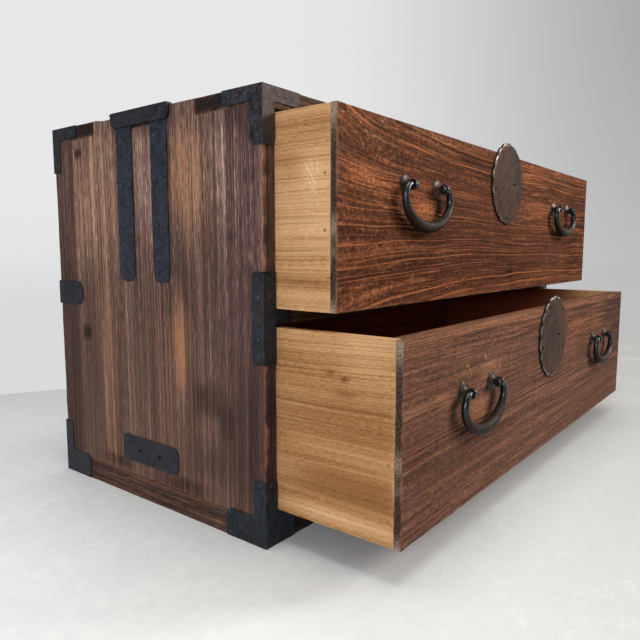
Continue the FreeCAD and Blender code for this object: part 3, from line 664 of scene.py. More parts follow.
SIDE_TONES = ((32, 24, 22), (64, 49, 43), (89, 68, 59), (132, 104, 88), (208, 176, 150))
TOP_TONES = ((34, 25, 22), (62, 46, 39), (84, 63, 52), (114, 87, 70), (178, 142, 114))
FRONT_TONES = ((30, 14, 8), (58, 30, 18), (76, 42, 27), (110, 68, 46), (190, 140, 106))
LOWER_TONES = ((34, 22, 17), (64, 43, 33), (86, 59, 46), (120, 86, 67), (190, 146, 116))
PALE_TONES = ((92, 56, 30), (146, 101, 60), (186, 140, 95), (212, 170, 125), (234, 206, 166))
INNER_TONES = ((28, 18, 14), (54, 36, 28), (78, 54, 42), (106, 78, 62), (150, 118, 96))
RED_TONES = ((62, 25, 15), (102, 46, 28), (134, 66, 42), (162, 90, 60), (188, 122, 88))
FRONT_LINE, LOWER_LINE, SIDE_LINE, PALE_LINE = (184, 110, 68), (162, 106, 76), (172, 112, 74), (130, 88, 52)
DARK_ENDS, BLACK_ENDS = ((30, 23, 23), (84, 65, 58)), ((22, 17, 17), (48, 39, 37))
PALE_ENDS, PEG_ENDS = ((120, 84, 54), (180, 140, 98)), ((124, 84, 50), (170, 124, 80))
CHILL = (216, 212, 234)
PALE_ORIGIN = (FRONT_IRON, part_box("upper_drawer_left_side")[0].z)

side_wood = wood(
    "side_board", 2, SIDE_TONES, SIDE_LINE, (120, 70, 44), BLACK_ENDS, (0.5, 0.7, 0.65, 1.05), 6.0, 0.2,
    light=0.7, waviness=0.25, chill=CHILL, hair=(4, 400), fleck=(60, 680), seed=0.4)
top_wood = wood(
    "top_board", 0, TOP_TONES, SIDE_LINE, (104, 74, 56), BLACK_ENDS, (0.5, 0.6, 0.5, 0.8), 6.0,
    light=0.7, waviness=0.5, hair=(4, 380), fleck=(60, 640), seed=0.3)
foot_wood = wood(
    "foot_planks", 1, SIDE_TONES, SIDE_LINE, (96, 64, 46), BLACK_ENDS, (0.4, 0.5, 0.6, 0.9), 5.0, 0.3, 0.15,
    light=0.7, waviness=0.5, base=0.28, chill=CHILL, seed=0.7)
upper_wood = wood(
    "upper_front", 0, FRONT_TONES, FRONT_LINE, (134, 96, 74), DARK_ENDS, (0.3, 0.5, 0.45, 1.25), 3.8, 0.8,
    bands=0.3, saw=0.12, hair=(14, 330), fleck=(190, 430), waviness=0.7, fan=(0.36, -0.06, 2.0), rough=0.6,
    shine=0.02, relief=0.35, seed=0.1)
lower_wood = wood(
    "lower_front", 0, LOWER_TONES, LOWER_LINE, (126, 88, 66), DARK_ENDS, (0.5, 0.5, 0.5, 0.9), 3.6, 0.66,
    bands=0.25, saw=0.12, hair=(9, 330), fleck=(110, 430), waviness=0.4, base=0.48, rough=0.62, shine=0.03,
    seed=0.5, scratches=((0, 0), 2.2 * MM, (206, 146, 104), FRONT_SCRATCHES))
pale_wood = wood(
    "drawer_wood", 1, PALE_TONES, PALE_LINE, (190, 150, 104), PALE_ENDS, (0.7, 0.4, 0.42, 0.6), 5.2, 0.6,
    waviness=0.35, tilt=0.01, base=0.54, hair=(5, 420), fleck=(140, 1000), seed=0.2,
    scratches=(PALE_ORIGIN, 0.9 * MM, (232, 206, 170), SIDE_SCRATCHES))
drawer_inside = wood(
    "drawer_inside", 0, RED_TONES, (166, 88, 54), (150, 82, 54), DARK_ENDS, (0.4, 0.6, 0.6, 0.9), 7.0,
    base=0.45, seed=0.6)
inner_wood = wood(
    "inner_boards", 0, INNER_TONES, (124, 80, 54), (110, 74, 52), DARK_ENDS, (0.4, 0.6, 0.7, 0.9), 7.0,
    hair=(5, 300), fleck=(50, 520), seed=0.9)
peg_wood = wood("pegs", 0, PALE_TONES, PALE_LINE, (130, 92, 60), PEG_ENDS, (0, 0, 0, 0.5), 2.0)

black_iron = plain_iron("black_iron", (2, 3, 5), (36, 42, 53), 0.14, 0.55, 0.35, 0.4)
corner_iron = plain_iron("corner_iron", (14, 15, 18), (52, 54, 62), 0.2, 0.55, 0.3, 0.25, extra=corner_tones)
strap_iron = plain_iron("strap_iron", (3, 6, 11), (40, 50, 66), 0.08, 0.52, 0.35, extra=strap_tones)
plate_iron = plain_iron(
    "lock_plate_iron", (27, 17, 11), (74, 54, 42), 0.5, 0.5, 0.03, 0.06, scale=0.6, rim_sheen_and_pit_shade=True)
handle_iron = plain_iron("handle_iron", (4, 5, 7), (13, 16, 21), 0.1, 0.24, 0.2, belly=(40, 28, 21))
rosette_iron = plain_iron("rosette_iron", (22, 18, 17), (50, 42, 38), 0.3, 0.36, 0.1, 0.2)
lock_iron = plain_iron("lock_iron", (48, 42, 38), (84, 76, 70), 0.6, 0.55, 0.7)
nail_iron = plain_iron("nail_iron", (24, 26, 31), (62, 66, 74), 0.2, 0.42, 0.5)


# Case boards

SIDES = (("left", 1), ("right", -1))
WITHIN = -CASE_HIGH.x
FINGER_SHARES, FINGER_HEIGHT = (0.252, 0.378, 0.621, 0.755), 18.5 * MM
# Each seam's place from the front at the top and at the foot, and the heights that it runs between, in mm
SIDE_SEAMS = ((361, 361, 0, 500), (267, 278, 0, 500), (64, 62, 230, 500))
SEAM_HALF, SEAM_DEPTH, SEAM_FADE = 0.9 * MM, 0.7 * MM, 20 * MM
LOOP_MIDDLE, LEG_SPACING, HOLE_SPACING = FRONT_IRON + 206.5 * MM, 70 * MM, 42 * MM
LEG_PLACES = [LOOP_MIDDLE + turn * LEG_SPACING / 2 for turn in (-1, 1)]
HOLE_PLACES = [LOOP_MIDDLE + turn * HOLE_SPACING / 2 for turn in (-1, 1)]
LOOP_GAP, LOOP_FOOT_HEIGHT, LOOP_TRAVEL = 0.4 * MM, 10 * MM, 140 * MM
GROOVE_FOOT = 296 * MM
GROOVE_SHOULDER = GROOVE_FOOT + LOOP_GAP + LOOP_FOOT_HEIGHT + LOOP_TRAVEL
GROOVE_DEPTH, NARROW_GROOVE, WIDE_GROOVE = 4.8 * MM, 7.4 * MM, 10.4 * MM
HOLE_HEIGHT, HOLE_HALF, HOLE_DEPTH = 66.5 * MM, 3.1 * MM, 12 * MM


def spans_of_fingers():
    """Where the top's fingers reach through the sides, from the shares of the case's depth."""
    low, high = CASE_LOW.y, CASE_HIGH.y
    edges = [low + share * (high - low) for share in FINGER_SHARES]
    return [(low, edges[0]), (edges[1], edges[2]), (edges[3], high)]


def side_relief(u, v):
    """Seams, a little cupping, grooves for the loop's legs and blind holes behind the pierced plate."""
    drop = 0.12 * MM * (1 + ripple(points_of(u, 0.3 * v), 120 * MM, 11))
    for top, foot, low, high in SIDE_SEAMS:
        line = FRONT_IRON + (foot + (top - foot) * v / CASE_TOP) * MM
        reach = np.clip((v - low * MM) / SEAM_FADE, 0, 1) * np.clip((high * MM - v) / SEAM_FADE, 0, 1)
        drop += reach * SEAM_DEPTH * np.clip(1 - np.abs(u - line) / SEAM_HALF, 0, 1)
    half = np.where(v < GROOVE_SHOULDER + TOUCH, WIDE_GROOVE, NARROW_GROOVE)
    for leg in LEG_PLACES:
        groove = (np.abs(u - leg) < half + TOUCH) & (v > GROOVE_FOOT - TOUCH)
        drop[groove] = GROOVE_DEPTH
    for hole in HOLE_PLACES:
        away = np.maximum(np.abs(u - hole), np.abs(v - HOLE_HEIGHT))
        drop[away < HOLE_HALF + TOUCH] = HOLE_DEPTH
    return drop


# Soft oval patches of the side; the last four, beside both edges of each strap, are painted shade
SIDE_PATCHES = (
    (388, 200, 22, 330, -0.25, -0.3), (330, 400, 24, 90, 0.55, 0.2), (292, 190, 20, 170, 0.45, 0.3),
    (330, 180, 18, 170, -0.3, -0.05), (240, 250, 20, 300, 0.1, 0), (190, 400, 12, 90, 0.3, 0.05),
    (288, 415, 26, 90, 0.5, 0.15), (392, 400, 16, 90, 0.4, -0.1), (70, 420, 50, 60, 0.3, 0.05),
    (276, 160, 15, 130, -0.35, -0.05), (84, 80, 40, 22, -0.3, -0.1), (125, 420, 38, 60, 0.35, 0.4),
    (140, 222, 10, 66, 0.5, 0.85), (132, 285, 22, 40, -0.3, -0.2), (170, 150, 20, 110, 0.2, 0.2),
    (95, 155, 26, 20, -0.7, 0), (60, 130, 14, 26, -0.6, 0), (34, 330, 36, 170, 0.0, -1.0),
    (206, 420, 16, 70, 0.5, -0.5), (30, 110, 26, 90, -0.3, -0.3), (345, 215, 9, 9, -1.6, 0),
    (350, 462, 9, 5, -1.8, 0), (210, 490, 60, 14, -0.5, -0.3), (280, 42, 34, 8, -0.9, 0),
    (138, 40, 38, 9, -0.8, 0), (20, 480, 60, 26, -0.3, -0.4), (158, 375, 4, 96, -0.5, -0.2),
    (185, 375, 4, 90, -0.5, -0.2), (228, 375, 4, 90, -0.5, -0.2), (256, 375, 4, 96, -0.5, -0.2),
)
SHELTERED_ABOVE, CALM_FOOT, CALM_TOP = 472 * MM, 180 * MM, 330 * MM


def side_marks(u, v, w):
    """The side's light and dark streaks with painted shade beside the straps, the same on both sides, and
    the bared red arris in front.
    """
    layers = patches(SIDE_PATCHES, u - FRONT_IRON, v)
    front = np.clip(1 - (u - CASE_LOW.y) / (0.6 * MM), 0, 1)
    outer = hill(np.abs(w) + CASE_LOW.x, 6.5 * MM)
    torn = 0.7 + 0.5 * ripple(points_of(0 * u, v), 22 * MM, 77)
    bared = front * outer * torn * np.clip(v / (60 * MM) - 1, 0, 1)
    layers["warm"] += 0.9 * bared
    layers["tone"] += 0.7 * bared - 0.9 * front
    layers["worn"] = np.where(v > SHELTERED_ABOVE, 0.15, 1.0)
    layers["calm"] = np.clip((CALM_TOP - v) / (CALM_TOP - CALM_FOOT), 0, 1)
    return layers


DIP_PLACE, DIP_REACH, DIP_DEPTH, TOP_EDGE = FRONT_IRON + 282 * MM, 16 * MM, 2 * MM, 4 * MM


def top_edge_wear(points):
    """The worn dip in the side's top edge and a slight waviness of it."""
    near = np.clip((points[:, 2] - (CASE_TOP - TOP_EDGE)) / TOP_EDGE, 0, 1)
    dip = DIP_DEPTH * hill(points[:, 1] - DIP_PLACE, DIP_REACH, 4)
    points[:, 2] -= near * (dip + 0.15 * MM * (1 + ripple(points * (0, 1, 0), 70 * MM, 21)))
    return points


def case_sides(fingers, notch):
    """Both side boards, open at the top where the fingers pass."""
    solids = [(CASE_LOW.y, CASE_HIGH.y, CASE_LOW.z, notch)]
    solids += [(a[1], b[0], notch, CASE_TOP) for a, b in zip(fingers, fingers[1:])]
    splits = [FRONT_IRON + (top + foot) / 2 * MM for top, foot, _, _ in SIDE_SEAMS]
    for turn in (-1, 1):
        splits += [leg + turn * half for leg in LEG_PLACES for half in (NARROW_GROOVE, WIDE_GROOVE)]
        splits += [hole + turn * HOLE_HALF for hole in HOLE_PLACES]
    cross_splits = (GROOVE_FOOT, GROOVE_SHOULDER, HOLE_HEIGHT - HOLE_HALF, HOLE_HEIGHT + HOLE_HALF)
    for side, sign in SIDES:
        faces = (sign * CASE_LOW.x, sign * CASE_HIGH.x)
        board(f"{side}_side_board", "case", side_wood, (1, 2, 0), solids, faces, [f"case_{side}_side"],
              relief=side_relief, bend=top_edge_wear, marks=side_marks, seed=3, splits=splits,
              cross_splits=cross_splits)


def case_top(fingers, notch):
    """The top board between the sides, and its fingers through them."""
    low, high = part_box("case_top")
    solids = [(-WITHIN, WITHIN, CASE_LOW.y, CASE_HIGH.y)]
    board("top_board", "case", top_wood, (0, 1, 2), solids, (high.z, low.z), ["case_top"], seed=31)
    for k, (a, b) in enumerate(fingers):
        for side, sign in SIDES:
            ends = sorted((sign * CASE_LOW.x, sign * CASE_HIGH.x))
            outer = sorted((sign * CASE_LOW.x, sign * (CASE_LOW.x + GROOVE_DEPTH)))
            legs = [(*outer, leg - NARROW_GROOVE, leg + NARROW_GROOVE) for leg in LEG_PLACES if a < leg < b]
            board(f"top_finger_{side}_{k}", "case", top_wood, (0, 1, 2), [(*ends, a, b)], (high.z, notch),
                  holes=legs, bend=top_edge_wear, seed=41 + k)


# Each pair of planks: names, wood, axes of u, v and w, 1 where the lower face along w shows, seed and step
PLANKS = (
    (("bottom_front_plank", "bottom_rear_plank"), foot_wood, (0, 1, 2), 1, 51, 6 * MM),
    (("case_back_lower", "case_back_upper"), inner_wood, (0, 2, 1), -1, 61, 7 * MM),
    (("front_sill", "mid_rail"), inner_wood, (0, 2, 1), 1, 71, 5 * MM),
)
BETWEEN_SIDES = ("front_sill", "mid_rail")


def case_planks():
    """The planks of the bottom and the back, the sill and the rail."""
    for names, material, order, way, seed, step in PLANKS:
        _, up, through = order
        for name in names:
            low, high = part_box(name)
            ends = (-WITHIN, WITHIN) if name in BETWEEN_SIDES else (low.x, high.x)
            board(name + "_worn", "case", material, order, [(*ends, low[up], high[up])],
                  (low[through], high[through])[::way], [name], seed=seed, step=step)


# Handles

BAIL_SIZES = {"left": (54.5, 47.0), "right": (51.5, 42.5)}
BELLY_FROM, BELLY_FULL = 18 * MM, 34 * MM
POST_SPACING, POST_WIDTH, KNOB_GAP, ELBOW_GAP, ELBOW_DROP = 78.0, 5.5, 0.6, 0.8, 14.0
KNOB_END = (POST_SPACING - POST_WIDTH) / 2 - KNOB_GAP
ELBOW_START = (POST_SPACING + POST_WIDTH) / 2 + ELBOW_GAP
NECK_RADIUS, ELBOW_RADIUS, ARM_RADIUS, BELLY_RADIUS = 3.2, 3.8, 4.4, 7.2
# The knob's half section: each point's place past the knob's outer face, and the radius there
KNOB = ((-3.50, 0.0), (-3.48, 3.0), (-3.1, 4.4), (-2.4, 4.8), (-1.2, 4.8), (-0.5, 4.5), (-0.02, 3.3),
        (0.3, 3.2))


def bail_path(half_width, drop):
    """Half of a bail's centreline from its knob to the belly, with the radius at each point, in mm."""
    spots = [(KNOB_END + past, 0.0, radius) for past, radius in KNOB]
    spots += [(KNOB_END + (ELBOW_START - KNOB_END) * t, 0.0, NECK_RADIUS) for t in (0.2, 0.5, 0.8, 0.95)]
    for t in np.linspace(0, 1, 15)[:-1]:
        turn = math.pi / 2 * t
        across = ELBOW_START + (half_width - ELBOW_START) * math.sin(turn)
        radius = ELBOW_RADIUS + (ARM_RADIUS - ELBOW_RADIUS) * t
        spots.append((across, -ELBOW_DROP * (1 - math.cos(turn)), radius))
    for turn in np.linspace(0, math.pi / 2, 40):
        down = ELBOW_DROP + (drop - ELBOW_DROP) * math.sin(turn)
        radius = ARM_RADIUS + (BELLY_RADIUS - ARM_RADIUS) * math.sin(turn) ** 2
        spots.append((half_width * math.cos(turn), -down, radius))
    return np.array(spots)


def bail(drawer, side, seed):
    """A forged handle: its rod swells at the belly and its turned-in ends finish in small knobs."""
    node = f"{drawer}_{side}_bail"
    low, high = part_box(node)
    half_width, drop = BAIL_SIZES[side]
    middle, pivot_y, pivot_z = (low.x + high.x) / 2, (low.y + high.y) / 2, low.z + (drop + BELLY_RADIUS) * MM
    half = bail_path(half_width, drop)
    across, up, radii = np.concatenate([half, half[-2::-1] * (-1, 1, 1)]).T
    path = np.stack([middle + across * MM, np.full(len(across), pivot_y), pivot_z + up * MM], 1)
    lumps = 1 + 0.022 * ripple(path, 26 * MM, seed)
    knob = (np.abs(across) < (POST_SPACING - POST_WIDTH) / 2) & (up == 0)

    def section(turn, i):
        facets = 1 - 0.07 * np.abs(np.sin(4 * turn)) * knob[i]
        return facets * (1 + 0.018 * np.cos(4 * turn + i * 0.13))

    points, quads = swept(path, radii * MM * lumps, section)
    belly = np.clip((pivot_z - BELLY_FROM - points[:, 2]) / (BELLY_FULL - BELLY_FROM), 0, 1)
    marks = {"belly": belly}
    make_piece(f"{node}_forged", node, points, quads, handle_iron, [node], marks, 50)


ROSETTE = ((0.5, 0.05), (11.2, 0.05), (11.9, 0.3), (12.0, 0.75), (11.6, 1.15), (10.4, 1.6), (8.8, 2.1),
           (7.2, 2.7), (5.8, 3.4), (4.6, 4.3), (3.8, 5.2), (0.5, 5.4))
BAIL_PLACE = 266 * MM


def rosettes(drawer, seed):
    """The four round plates behind the posts: a thin rim that rises in a hollow curve to the post."""
    node = f"{drawer}_bail_rosettes"
    low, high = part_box(node)
    parts = []
    for side in (-1, 1):
        for turn in (-1, 1):
            middle = (side * BAIL_PLACE + turn * POST_SPACING / 2 * MM, high.y, (low.z + high.z) / 2)
            parts.append(lathe(ROSETTE, middle, seed=seed + side * 20 + turn * 3, wobble=0.012))
    points, quads = joined(parts)
    make_piece(f"{drawer}_rosettes_forged", f"{drawer}_drawer", points, quads, rosette_iron,
               [node], crease=40)


# Drawers

UPPER_PATCHES = (
    (-330, 100, 60, 60, 0.1, 0.0), (-262, 108, 30, 16, 0.5, 0.75), (-390, 140, 42, 13, 0.5, 0.45),
    (-320, 132, 60, 8, 0.3, 0.4), (20, 40, 120, 40, -0.3, 0), (25, 30, 14, 12, -1.2, 0),
    (160, 130, 100, 20, 0.3, 0.35), (0, 200, 430, 5, 0.5, 0.1), (-300, 20, 120, 10, 0.2, 0.3),
    (-20, 165, 60, 30, -0.3, -0.1), (385, 90, 75, 100, -0.8, 0.15), (110, 185, 100, 26, -0.35, 0.4),
    (-112, 184, 66, 16, -0.9, 0), (-388, 182, 60, 25, 0.25, 0),
)
LOWER_PATCHES = (
    (-262, 100, 30, 20, 0.4, 0.75), (-230, 150, 26, 16, 0.4, 0.5), (-320, 135, 90, 8, 0.3, 0.3),
    (130, 165, 150, 22, -0.55, 0.4), (-350, 60, 60, 50, 0.1, -0.2), (330, 175, 30, 26, -0.7, 0),
    (-380, 110, 30, 60, -0.15, -0.2), (0, 203, 430, 4, 0.4, 0.4), (0, 90, 260, 50, 0.15, 0.0),
    (0, 186, 440, 22, -0.2, 0.25), (402, 150, 42, 60, -0.8, -0.1), (180, 130, 60, 34, -0.2, 0),
    (-60, 190, 200, 10, -0.3, 0),
)
SLOT_HALF, SLOT_NEAR, SLOT_FAR, SLOT_DEPTH = 12.4 * MM, 3.6 * MM, 8.9 * MM, 12 * MM
# Painted shadow of each bail on the front: its offset left and down from the rod, its reach, and how far it
# is sought
BAIL_SHADOW_LEFT, BAIL_SHADOW_BELOW, BAIL_SHADOW_REACH, BAIL_SHADOW_LIMIT = 6 * MM, 5 * MM, 5.5 * MM, 90 * MM


def painted_bail_shadow(u, v, drawer):
    """How near each point is to the painted shadow of a hanging bail, a little left of and below its rod."""
    near = np.zeros_like(u)
    for side, (half_width, drop) in BAIL_SIZES.items():
        low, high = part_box(f"{drawer}_{side}_bail")
        line = bail_path(half_width, drop)[len(KNOB):, :2]
        line = np.concatenate([line, line * (-1, 1)]) * MM
        line += ((low.x + high.x) / 2 - BAIL_SHADOW_LEFT, low.z + (drop + BELLY_RADIUS) * MM - BAIL_SHADOW_BELOW)
        close = (np.abs(u - line[:, 0].mean()) < BAIL_SHADOW_LIMIT) & (np.abs(v - line[:, 1].mean()) < BAIL_SHADOW_LIMIT)
        far = np.hypot(u[close, None] - line[:, 0], v[close, None] - line[:, 1]).min(1)
        near[close] = np.maximum(near[close], hill(far, BAIL_SHADOW_REACH))
    return near


def drawer_front(drawer, material, table, seed):
    """The front board, rebated at both ends behind its lip, with a slot in its top edge for the bolt."""
    low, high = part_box(f"{drawer}_drawer_front")
    side_low, side_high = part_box(f"{drawer}_drawer_left_side")
    lip, wall = side_low.y, side_high.x
    mouth = [(-SLOT_HALF, SLOT_HALF, high.z - SLOT_DEPTH, high.z)]

    def marks(u, v, w):
        layers = patches(table, u, v - low.z)
        # Painted bail shadow: the front's tone darkens left of and below each bail
        layers["tone"] -= 1.9 * painted_bail_shadow(u, v, drawer)
        up = (v - low.z) / (high.z - low.z)
        scuff = 0.8 * hill(up - 0.42, 0.05) + 0.35 * hill(up - 0.30, 0.03)
        layers["bleach"] = np.clip(1.3 * hill(1 - up, 0.10) + hill(up, 0.05) + scuff, 0, 1)
        return layers

    def rebate(points):
        ends = np.abs(points[:, 0]) > -wall - TOUCH
        share = (points[:, 1] - low.y) / (high.y - low.y)
        points[ends, 1] = low.y + share[ends] * (lip - low.y)
        return points

    solids = [(-high.x, high.x, low.z, high.z)]
    board(f"{drawer}_front_board", f"{drawer}_drawer", material, (0, 2, 1), solids, (low.y, high.y),
          [f"{drawer}_drawer_front"], mouth, bend=rebate, marks=marks, arris=0.8 * MM,
          seed=seed, splits=(wall, -wall))
    for name, faces in (("fore", (low.y, low.y + SLOT_NEAR)), ("rear", (low.y + SLOT_FAR, high.y))):
        board(f"{drawer}_{name}_cheek", f"{drawer}_drawer", material, (0, 2, 1), mouth, faces,
              marks=marks, arris=0.2 * MM, seed=seed)


SIDE_FIGURE = {
    "upper": ((-60, 110, 24, 50, 0.2, 0), (-50, 147, 24, 20, 0.4, 0), (-24, 146, 12, 14, -0.2, 0.1),
              (-36, 190, 60, 14, -0.3, 0), (-62, 75, 60, 3, -0.7, 0.1), (-62, 28, 60, 3, -0.6, 0.1)),
    "lower": ((-100, 14, 90, 9, 0.9, 0), (-100, 50, 90, 22, -0.6, 0.35), (-120, 190, 34, 30, 0.3, 0),
              (-141, 80, 5, 9, 0.5, 0.6), (-90, 162, 5, 2.5, -1.0, 0), (-72, 166, 4, 2, -0.8, 0),
              (-100, 130, 90, 20, -0.15, 0.1), (-80, 190, 80, 16, 0.35, 0), (-92, 146, 12, 4, -0.5, 0)),
}
SIDE_LEVEL = {"upper": -0.05, "lower": -0.5}


def drawer_sides(drawer, seed):
    """The two sides, lapped into the front. Their inner faces are darker and redder further back."""
    for side, sign in SIDES:
        low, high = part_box(f"{drawer}_drawer_{side}_side")
        faces = (low.x, high.x)[::sign]

        def marks(u, v, w):
            layers = patches(SIDE_FIGURE[drawer], u - FRONT_IRON, v - low.z)
            layers["tone"] += SIDE_LEVEL[drawer]
            inside = np.clip(np.abs(w - faces[0]) / (high.x - low.x) * 3 - 1.5, 0, 1)
            layers["stain"] = inside * np.clip((u - low.y - 60 * MM) / (110 * MM), 0.1, 0.92)
            return layers

        board(f"{drawer}_{side}_side_board", f"{drawer}_drawer", pale_wood, (1, 2, 0),
              [(low.y, high.y, low.z, high.z)], faces, [f"{drawer}_drawer_{side}_side"],
              marks=marks, step=5 * MM, arris=0.6 * MM, seed=seed)


PEG = ((0.2, 0.14), (1.4, 0.13), (1.8, 0.06), (2.05, -0.35))
PEG_WORN, PEG_AROUND, PEG_INSET, PEG_SHARES = (0.0, 0.0, 1.0, 1.0), 14, 2 * MM, (0.128, 0.403, 0.675)


def drawer_pegs(drawer):
    """The ends of the wooden pegs, just proud of the drawer's sides."""
    low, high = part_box(f"{drawer}_drawer_pegs")
    side_low, side_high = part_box(f"{drawer}_drawer_left_side")
    parts = []
    for sign in (1, -1):
        for y in (low.y + PEG_INSET, high.y - PEG_INSET):
            for share in PEG_SHARES:
                z = side_low.z + share * (side_high.z - side_low.z)
                points, quads = lathe(PEG, (0, 0, 0), PEG_AROUND)
                parts.append((points[:, (1, 0, 2)] * (sign, 1, 1) + (sign * side_low.x, y, z), quads))
    points, quads = joined(parts)
    worn = np.tile(np.repeat(PEG_WORN, PEG_AROUND), len(parts))
    make_piece(f"{drawer}_peg_ends", f"{drawer}_drawer", points, quads, peg_wood,
               [f"{drawer}_drawer_pegs"], {"worn": worn})


# Lock plates, in mm about the plate's middle

PLATE_RADIUS, PLATE_RISE, PLATE_SLOPE, PLATE_VALLEY = 61.2, 3.6, 3.4, 2.2
PLATE_SCALLOPS, PLATE_TURN = 18, math.radians(18.5)
PLATE_SWELL, PIT_DEPTH, PIT_RADIUS, LIP_RADIUS, LIP_HEIGHT = 0.35, 3.0, 2.1, 2.6, 0.35


def polar(reach, degrees):
    """The point at a reach from the middle and a turn from level."""
    turn = math.radians(degrees)
    return reach * math.cos(turn), reach * math.sin(turn)


PIERCINGS = [polar(51.5, 48 + 72 * i) for i in range(5)]
KEYHOLE, KEYHOLE_LENGTH = polar(23.5, 3), 5.7


def crowded(low, high, step, spots, reach, fine):
    """Values from low to high, every step, and every fine step within reach of the spots."""
    lines = [np.arange(low, high, step), [high]]
    lines += [np.arange(spot - reach, spot + reach, fine) for spot in spots]
    lines = np.unique(np.round(np.concatenate(lines), 4))
    return lines[(lines >= low) & (lines <= high)]


def lock_plate(drawer, seed):
    """A scalloped iron disc on a polar grid of reach q and turn t.

    Outline: R - valley * (1 - |sin(9 (t - turn))|^0.7). Height: rise inside, less a rounded bevel towards
    the outline, less a pit at each piercing and the keyhole, plus a slight wavy unevenness.
    """
    node = f"{drawer}_lock_plate"
    low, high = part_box(node)
    middle = (high.z + low.z) / 2
    angles = [math.atan2(v, u) % (2 * math.pi) for u, v in (*PIERCINGS, KEYHOLE)]
    turns = crowded(0, 2 * math.pi, 2 * math.pi / 360, angles[:-1], 0.055, 0.006)
    turns = np.unique(np.concatenate([turns, crowded(0, 0.2, 0.2, angles[-1:], 0.16, 0.013)]))[:-1]
    flat = PLATE_RADIUS - PLATE_SLOPE - PLATE_VALLEY
    inner = crowded(0.05, flat, 2.6, [math.hypot(*PIERCINGS[0]), math.hypot(*KEYHOLE)], 2.7, 0.32)[:, None]
    bevel = np.linspace(0, 1, 9)[1:, None]
    lobe = np.abs(np.sin(PLATE_SCALLOPS / 2 * (turns - PLATE_TURN))) ** 0.7
    outline = PLATE_RADIUS - PLATE_VALLEY * (1 - lobe)
    reach = np.concatenate([inner + 0 * turns, flat + (outline - flat) * bevel ** 0.9])
    fall = np.concatenate([0 * inner, 1 - np.sqrt(np.clip(1 - bevel ** 2, 0, 1))])
    u, v = reach * np.cos(turns), reach * np.sin(turns)
    height = PLATE_RISE * (1 - 0.80 * fall) + 0.18 * ripple(points_of(u, v), 16, seed) * (1 - fall)
    height += PLATE_SWELL * (1 - (reach / PLATE_RADIUS) ** 2)
    shaded_pit = np.zeros_like(u)
    for a, b in (*PIERCINGS, KEYHOLE):
        far = np.hypot(u - a, v - b)
        if (a, b) == KEYHOLE:
            past = np.maximum(a - KEYHOLE_LENGTH - u, 0) + np.maximum(u - a, 0)
            far = np.minimum(far, np.hypot(past, np.maximum(np.abs(v - b) - 0.3, 0)) + 1.2)
        shaded_pit = np.maximum(shaded_pit, np.clip((PIT_RADIUS - far) / 0.5, 0, 1))
        height += LIP_HEIGHT * hill(far - LIP_RADIUS, 0.5)
    height -= PIT_DEPTH * shaded_pit
    # Marks: a painted highlight on a band inside the outline, and painted shade in the pits, the scallops'
    # notches and the outline's edge
    inset = outline - reach
    bare_rim_sheen = hill(inset - 2.0, 1.0) * (0.6 + 0.5 * ripple(points_of(u, v), 14, seed + 3))
    notch = np.clip((2.6 - inset) / 0.8, 0, 1) * np.clip((0.5 - lobe) / 0.3, 0, 1)
    shaded_pit = np.maximum(np.maximum(shaded_pit, np.clip((0.8 - inset) / 0.4, 0, 1)), 0.9 * notch)
    shown = np.concatenate([reach, outline[None], np.full((1, len(turns)), 0.5)]) * MM
    lifted = np.concatenate([height, np.full((2, len(turns)), 0.03)]) * MM
    points = np.stack([shown * np.cos(turns), high.y - lifted, middle + shown * np.sin(turns)], -1)
    points, quads = points.reshape(-1, 3), wrapped(*shown.shape)
    edge = np.zeros((2, len(turns)))
    shaded_pit, bare_rim_sheen = np.concatenate([shaded_pit, edge + 1]), np.concatenate([np.clip(bare_rim_sheen, 0, 1), edge])
    make_piece(f"{node}_forged", f"{drawer}_drawer", points, quads, plate_iron, [node],
               {"shaded_pit": shaded_pit.ravel(), "bare_rim_sheen": bare_rim_sheen.ravel()}, 42)


# CAD pieces whose shape is right keep it and get a finish

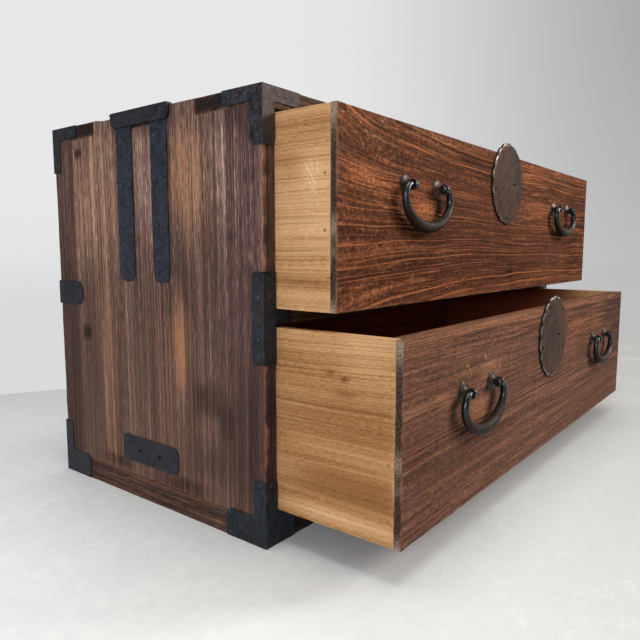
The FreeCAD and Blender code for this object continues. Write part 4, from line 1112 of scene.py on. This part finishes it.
BLACK_IRONS = ("top_back_corner", "foot_front_corner", "foot_back_corner", "tee_iron", "clasp",
               "pierced_plate", "pole_loop")
IRON_BEVEL = 0.3 * MM


def dress(node, material, bevel=0.0):
    """A CAD node with a better finish, its loose triangles joined and its edges eased when bevel is set."""
    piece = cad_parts[node]
    piece.data.materials.clear()
    piece.data.materials.append(material)
    if bevel:
        weld = piece.modifiers.new("weld", "WELD")
        weld.merge_threshold = 0.01 * MM
        ease = piece.modifiers.new("ease", "BEVEL")
        ease.width, ease.segments, ease.angle_limit = bevel, 2, math.radians(30)
        piece.data.polygons.foreach_set("use_smooth", np.zeros(len(piece.data.polygons), bool))


def dress_frame():
    """Finishes for every CAD node that stays in view."""
    for side, _ in SIDES:
        dress(f"top_front_corner_{side}", corner_iron, IRON_BEVEL)
        dress(f"pole_straps_{side}", strap_iron, IRON_BEVEL)
        for iron in BLACK_IRONS:
            dress(f"{iron}_{side}", black_iron, IRON_BEVEL)
    dress("case_nails", nail_iron)
    for node in ("shelf", "shelf_battens", "drawer_runners"):
        dress(node, drawer_inside)
    for drawer in ("upper", "lower"):
        dress(f"{drawer}_drawer_back", drawer_inside)
        dress(f"{drawer}_drawer_bottom", drawer_inside)
        for part in ("lock_case", "lock_bolt", "lock_spring"):
            dress(f"{drawer}_{part}", lock_iron)
        dress(f"{drawer}_bail_posts", handle_iron)


DRAWERS = (("upper", upper_wood, UPPER_PATCHES, 101), ("lower", lower_wood, LOWER_PATCHES, 131))

bpy.context.scene.view_settings.view_transform = "Standard"
set_camera()
set_stage()
fingers = spans_of_fingers()
case_sides(fingers, CASE_TOP - FINGER_HEIGHT)
case_top(fingers, CASE_TOP - FINGER_HEIGHT)
case_planks()
for drawer, material, table, seed in DRAWERS:
    drawer_front(drawer, material, table, seed)
    drawer_sides(drawer, seed + 10)
    for side, _ in SIDES:
        bail(drawer, side, seed + 20)
    rosettes(drawer, seed + 30)
    drawer_pegs(drawer)
    lock_plate(drawer, seed + 40)
dress_frame()
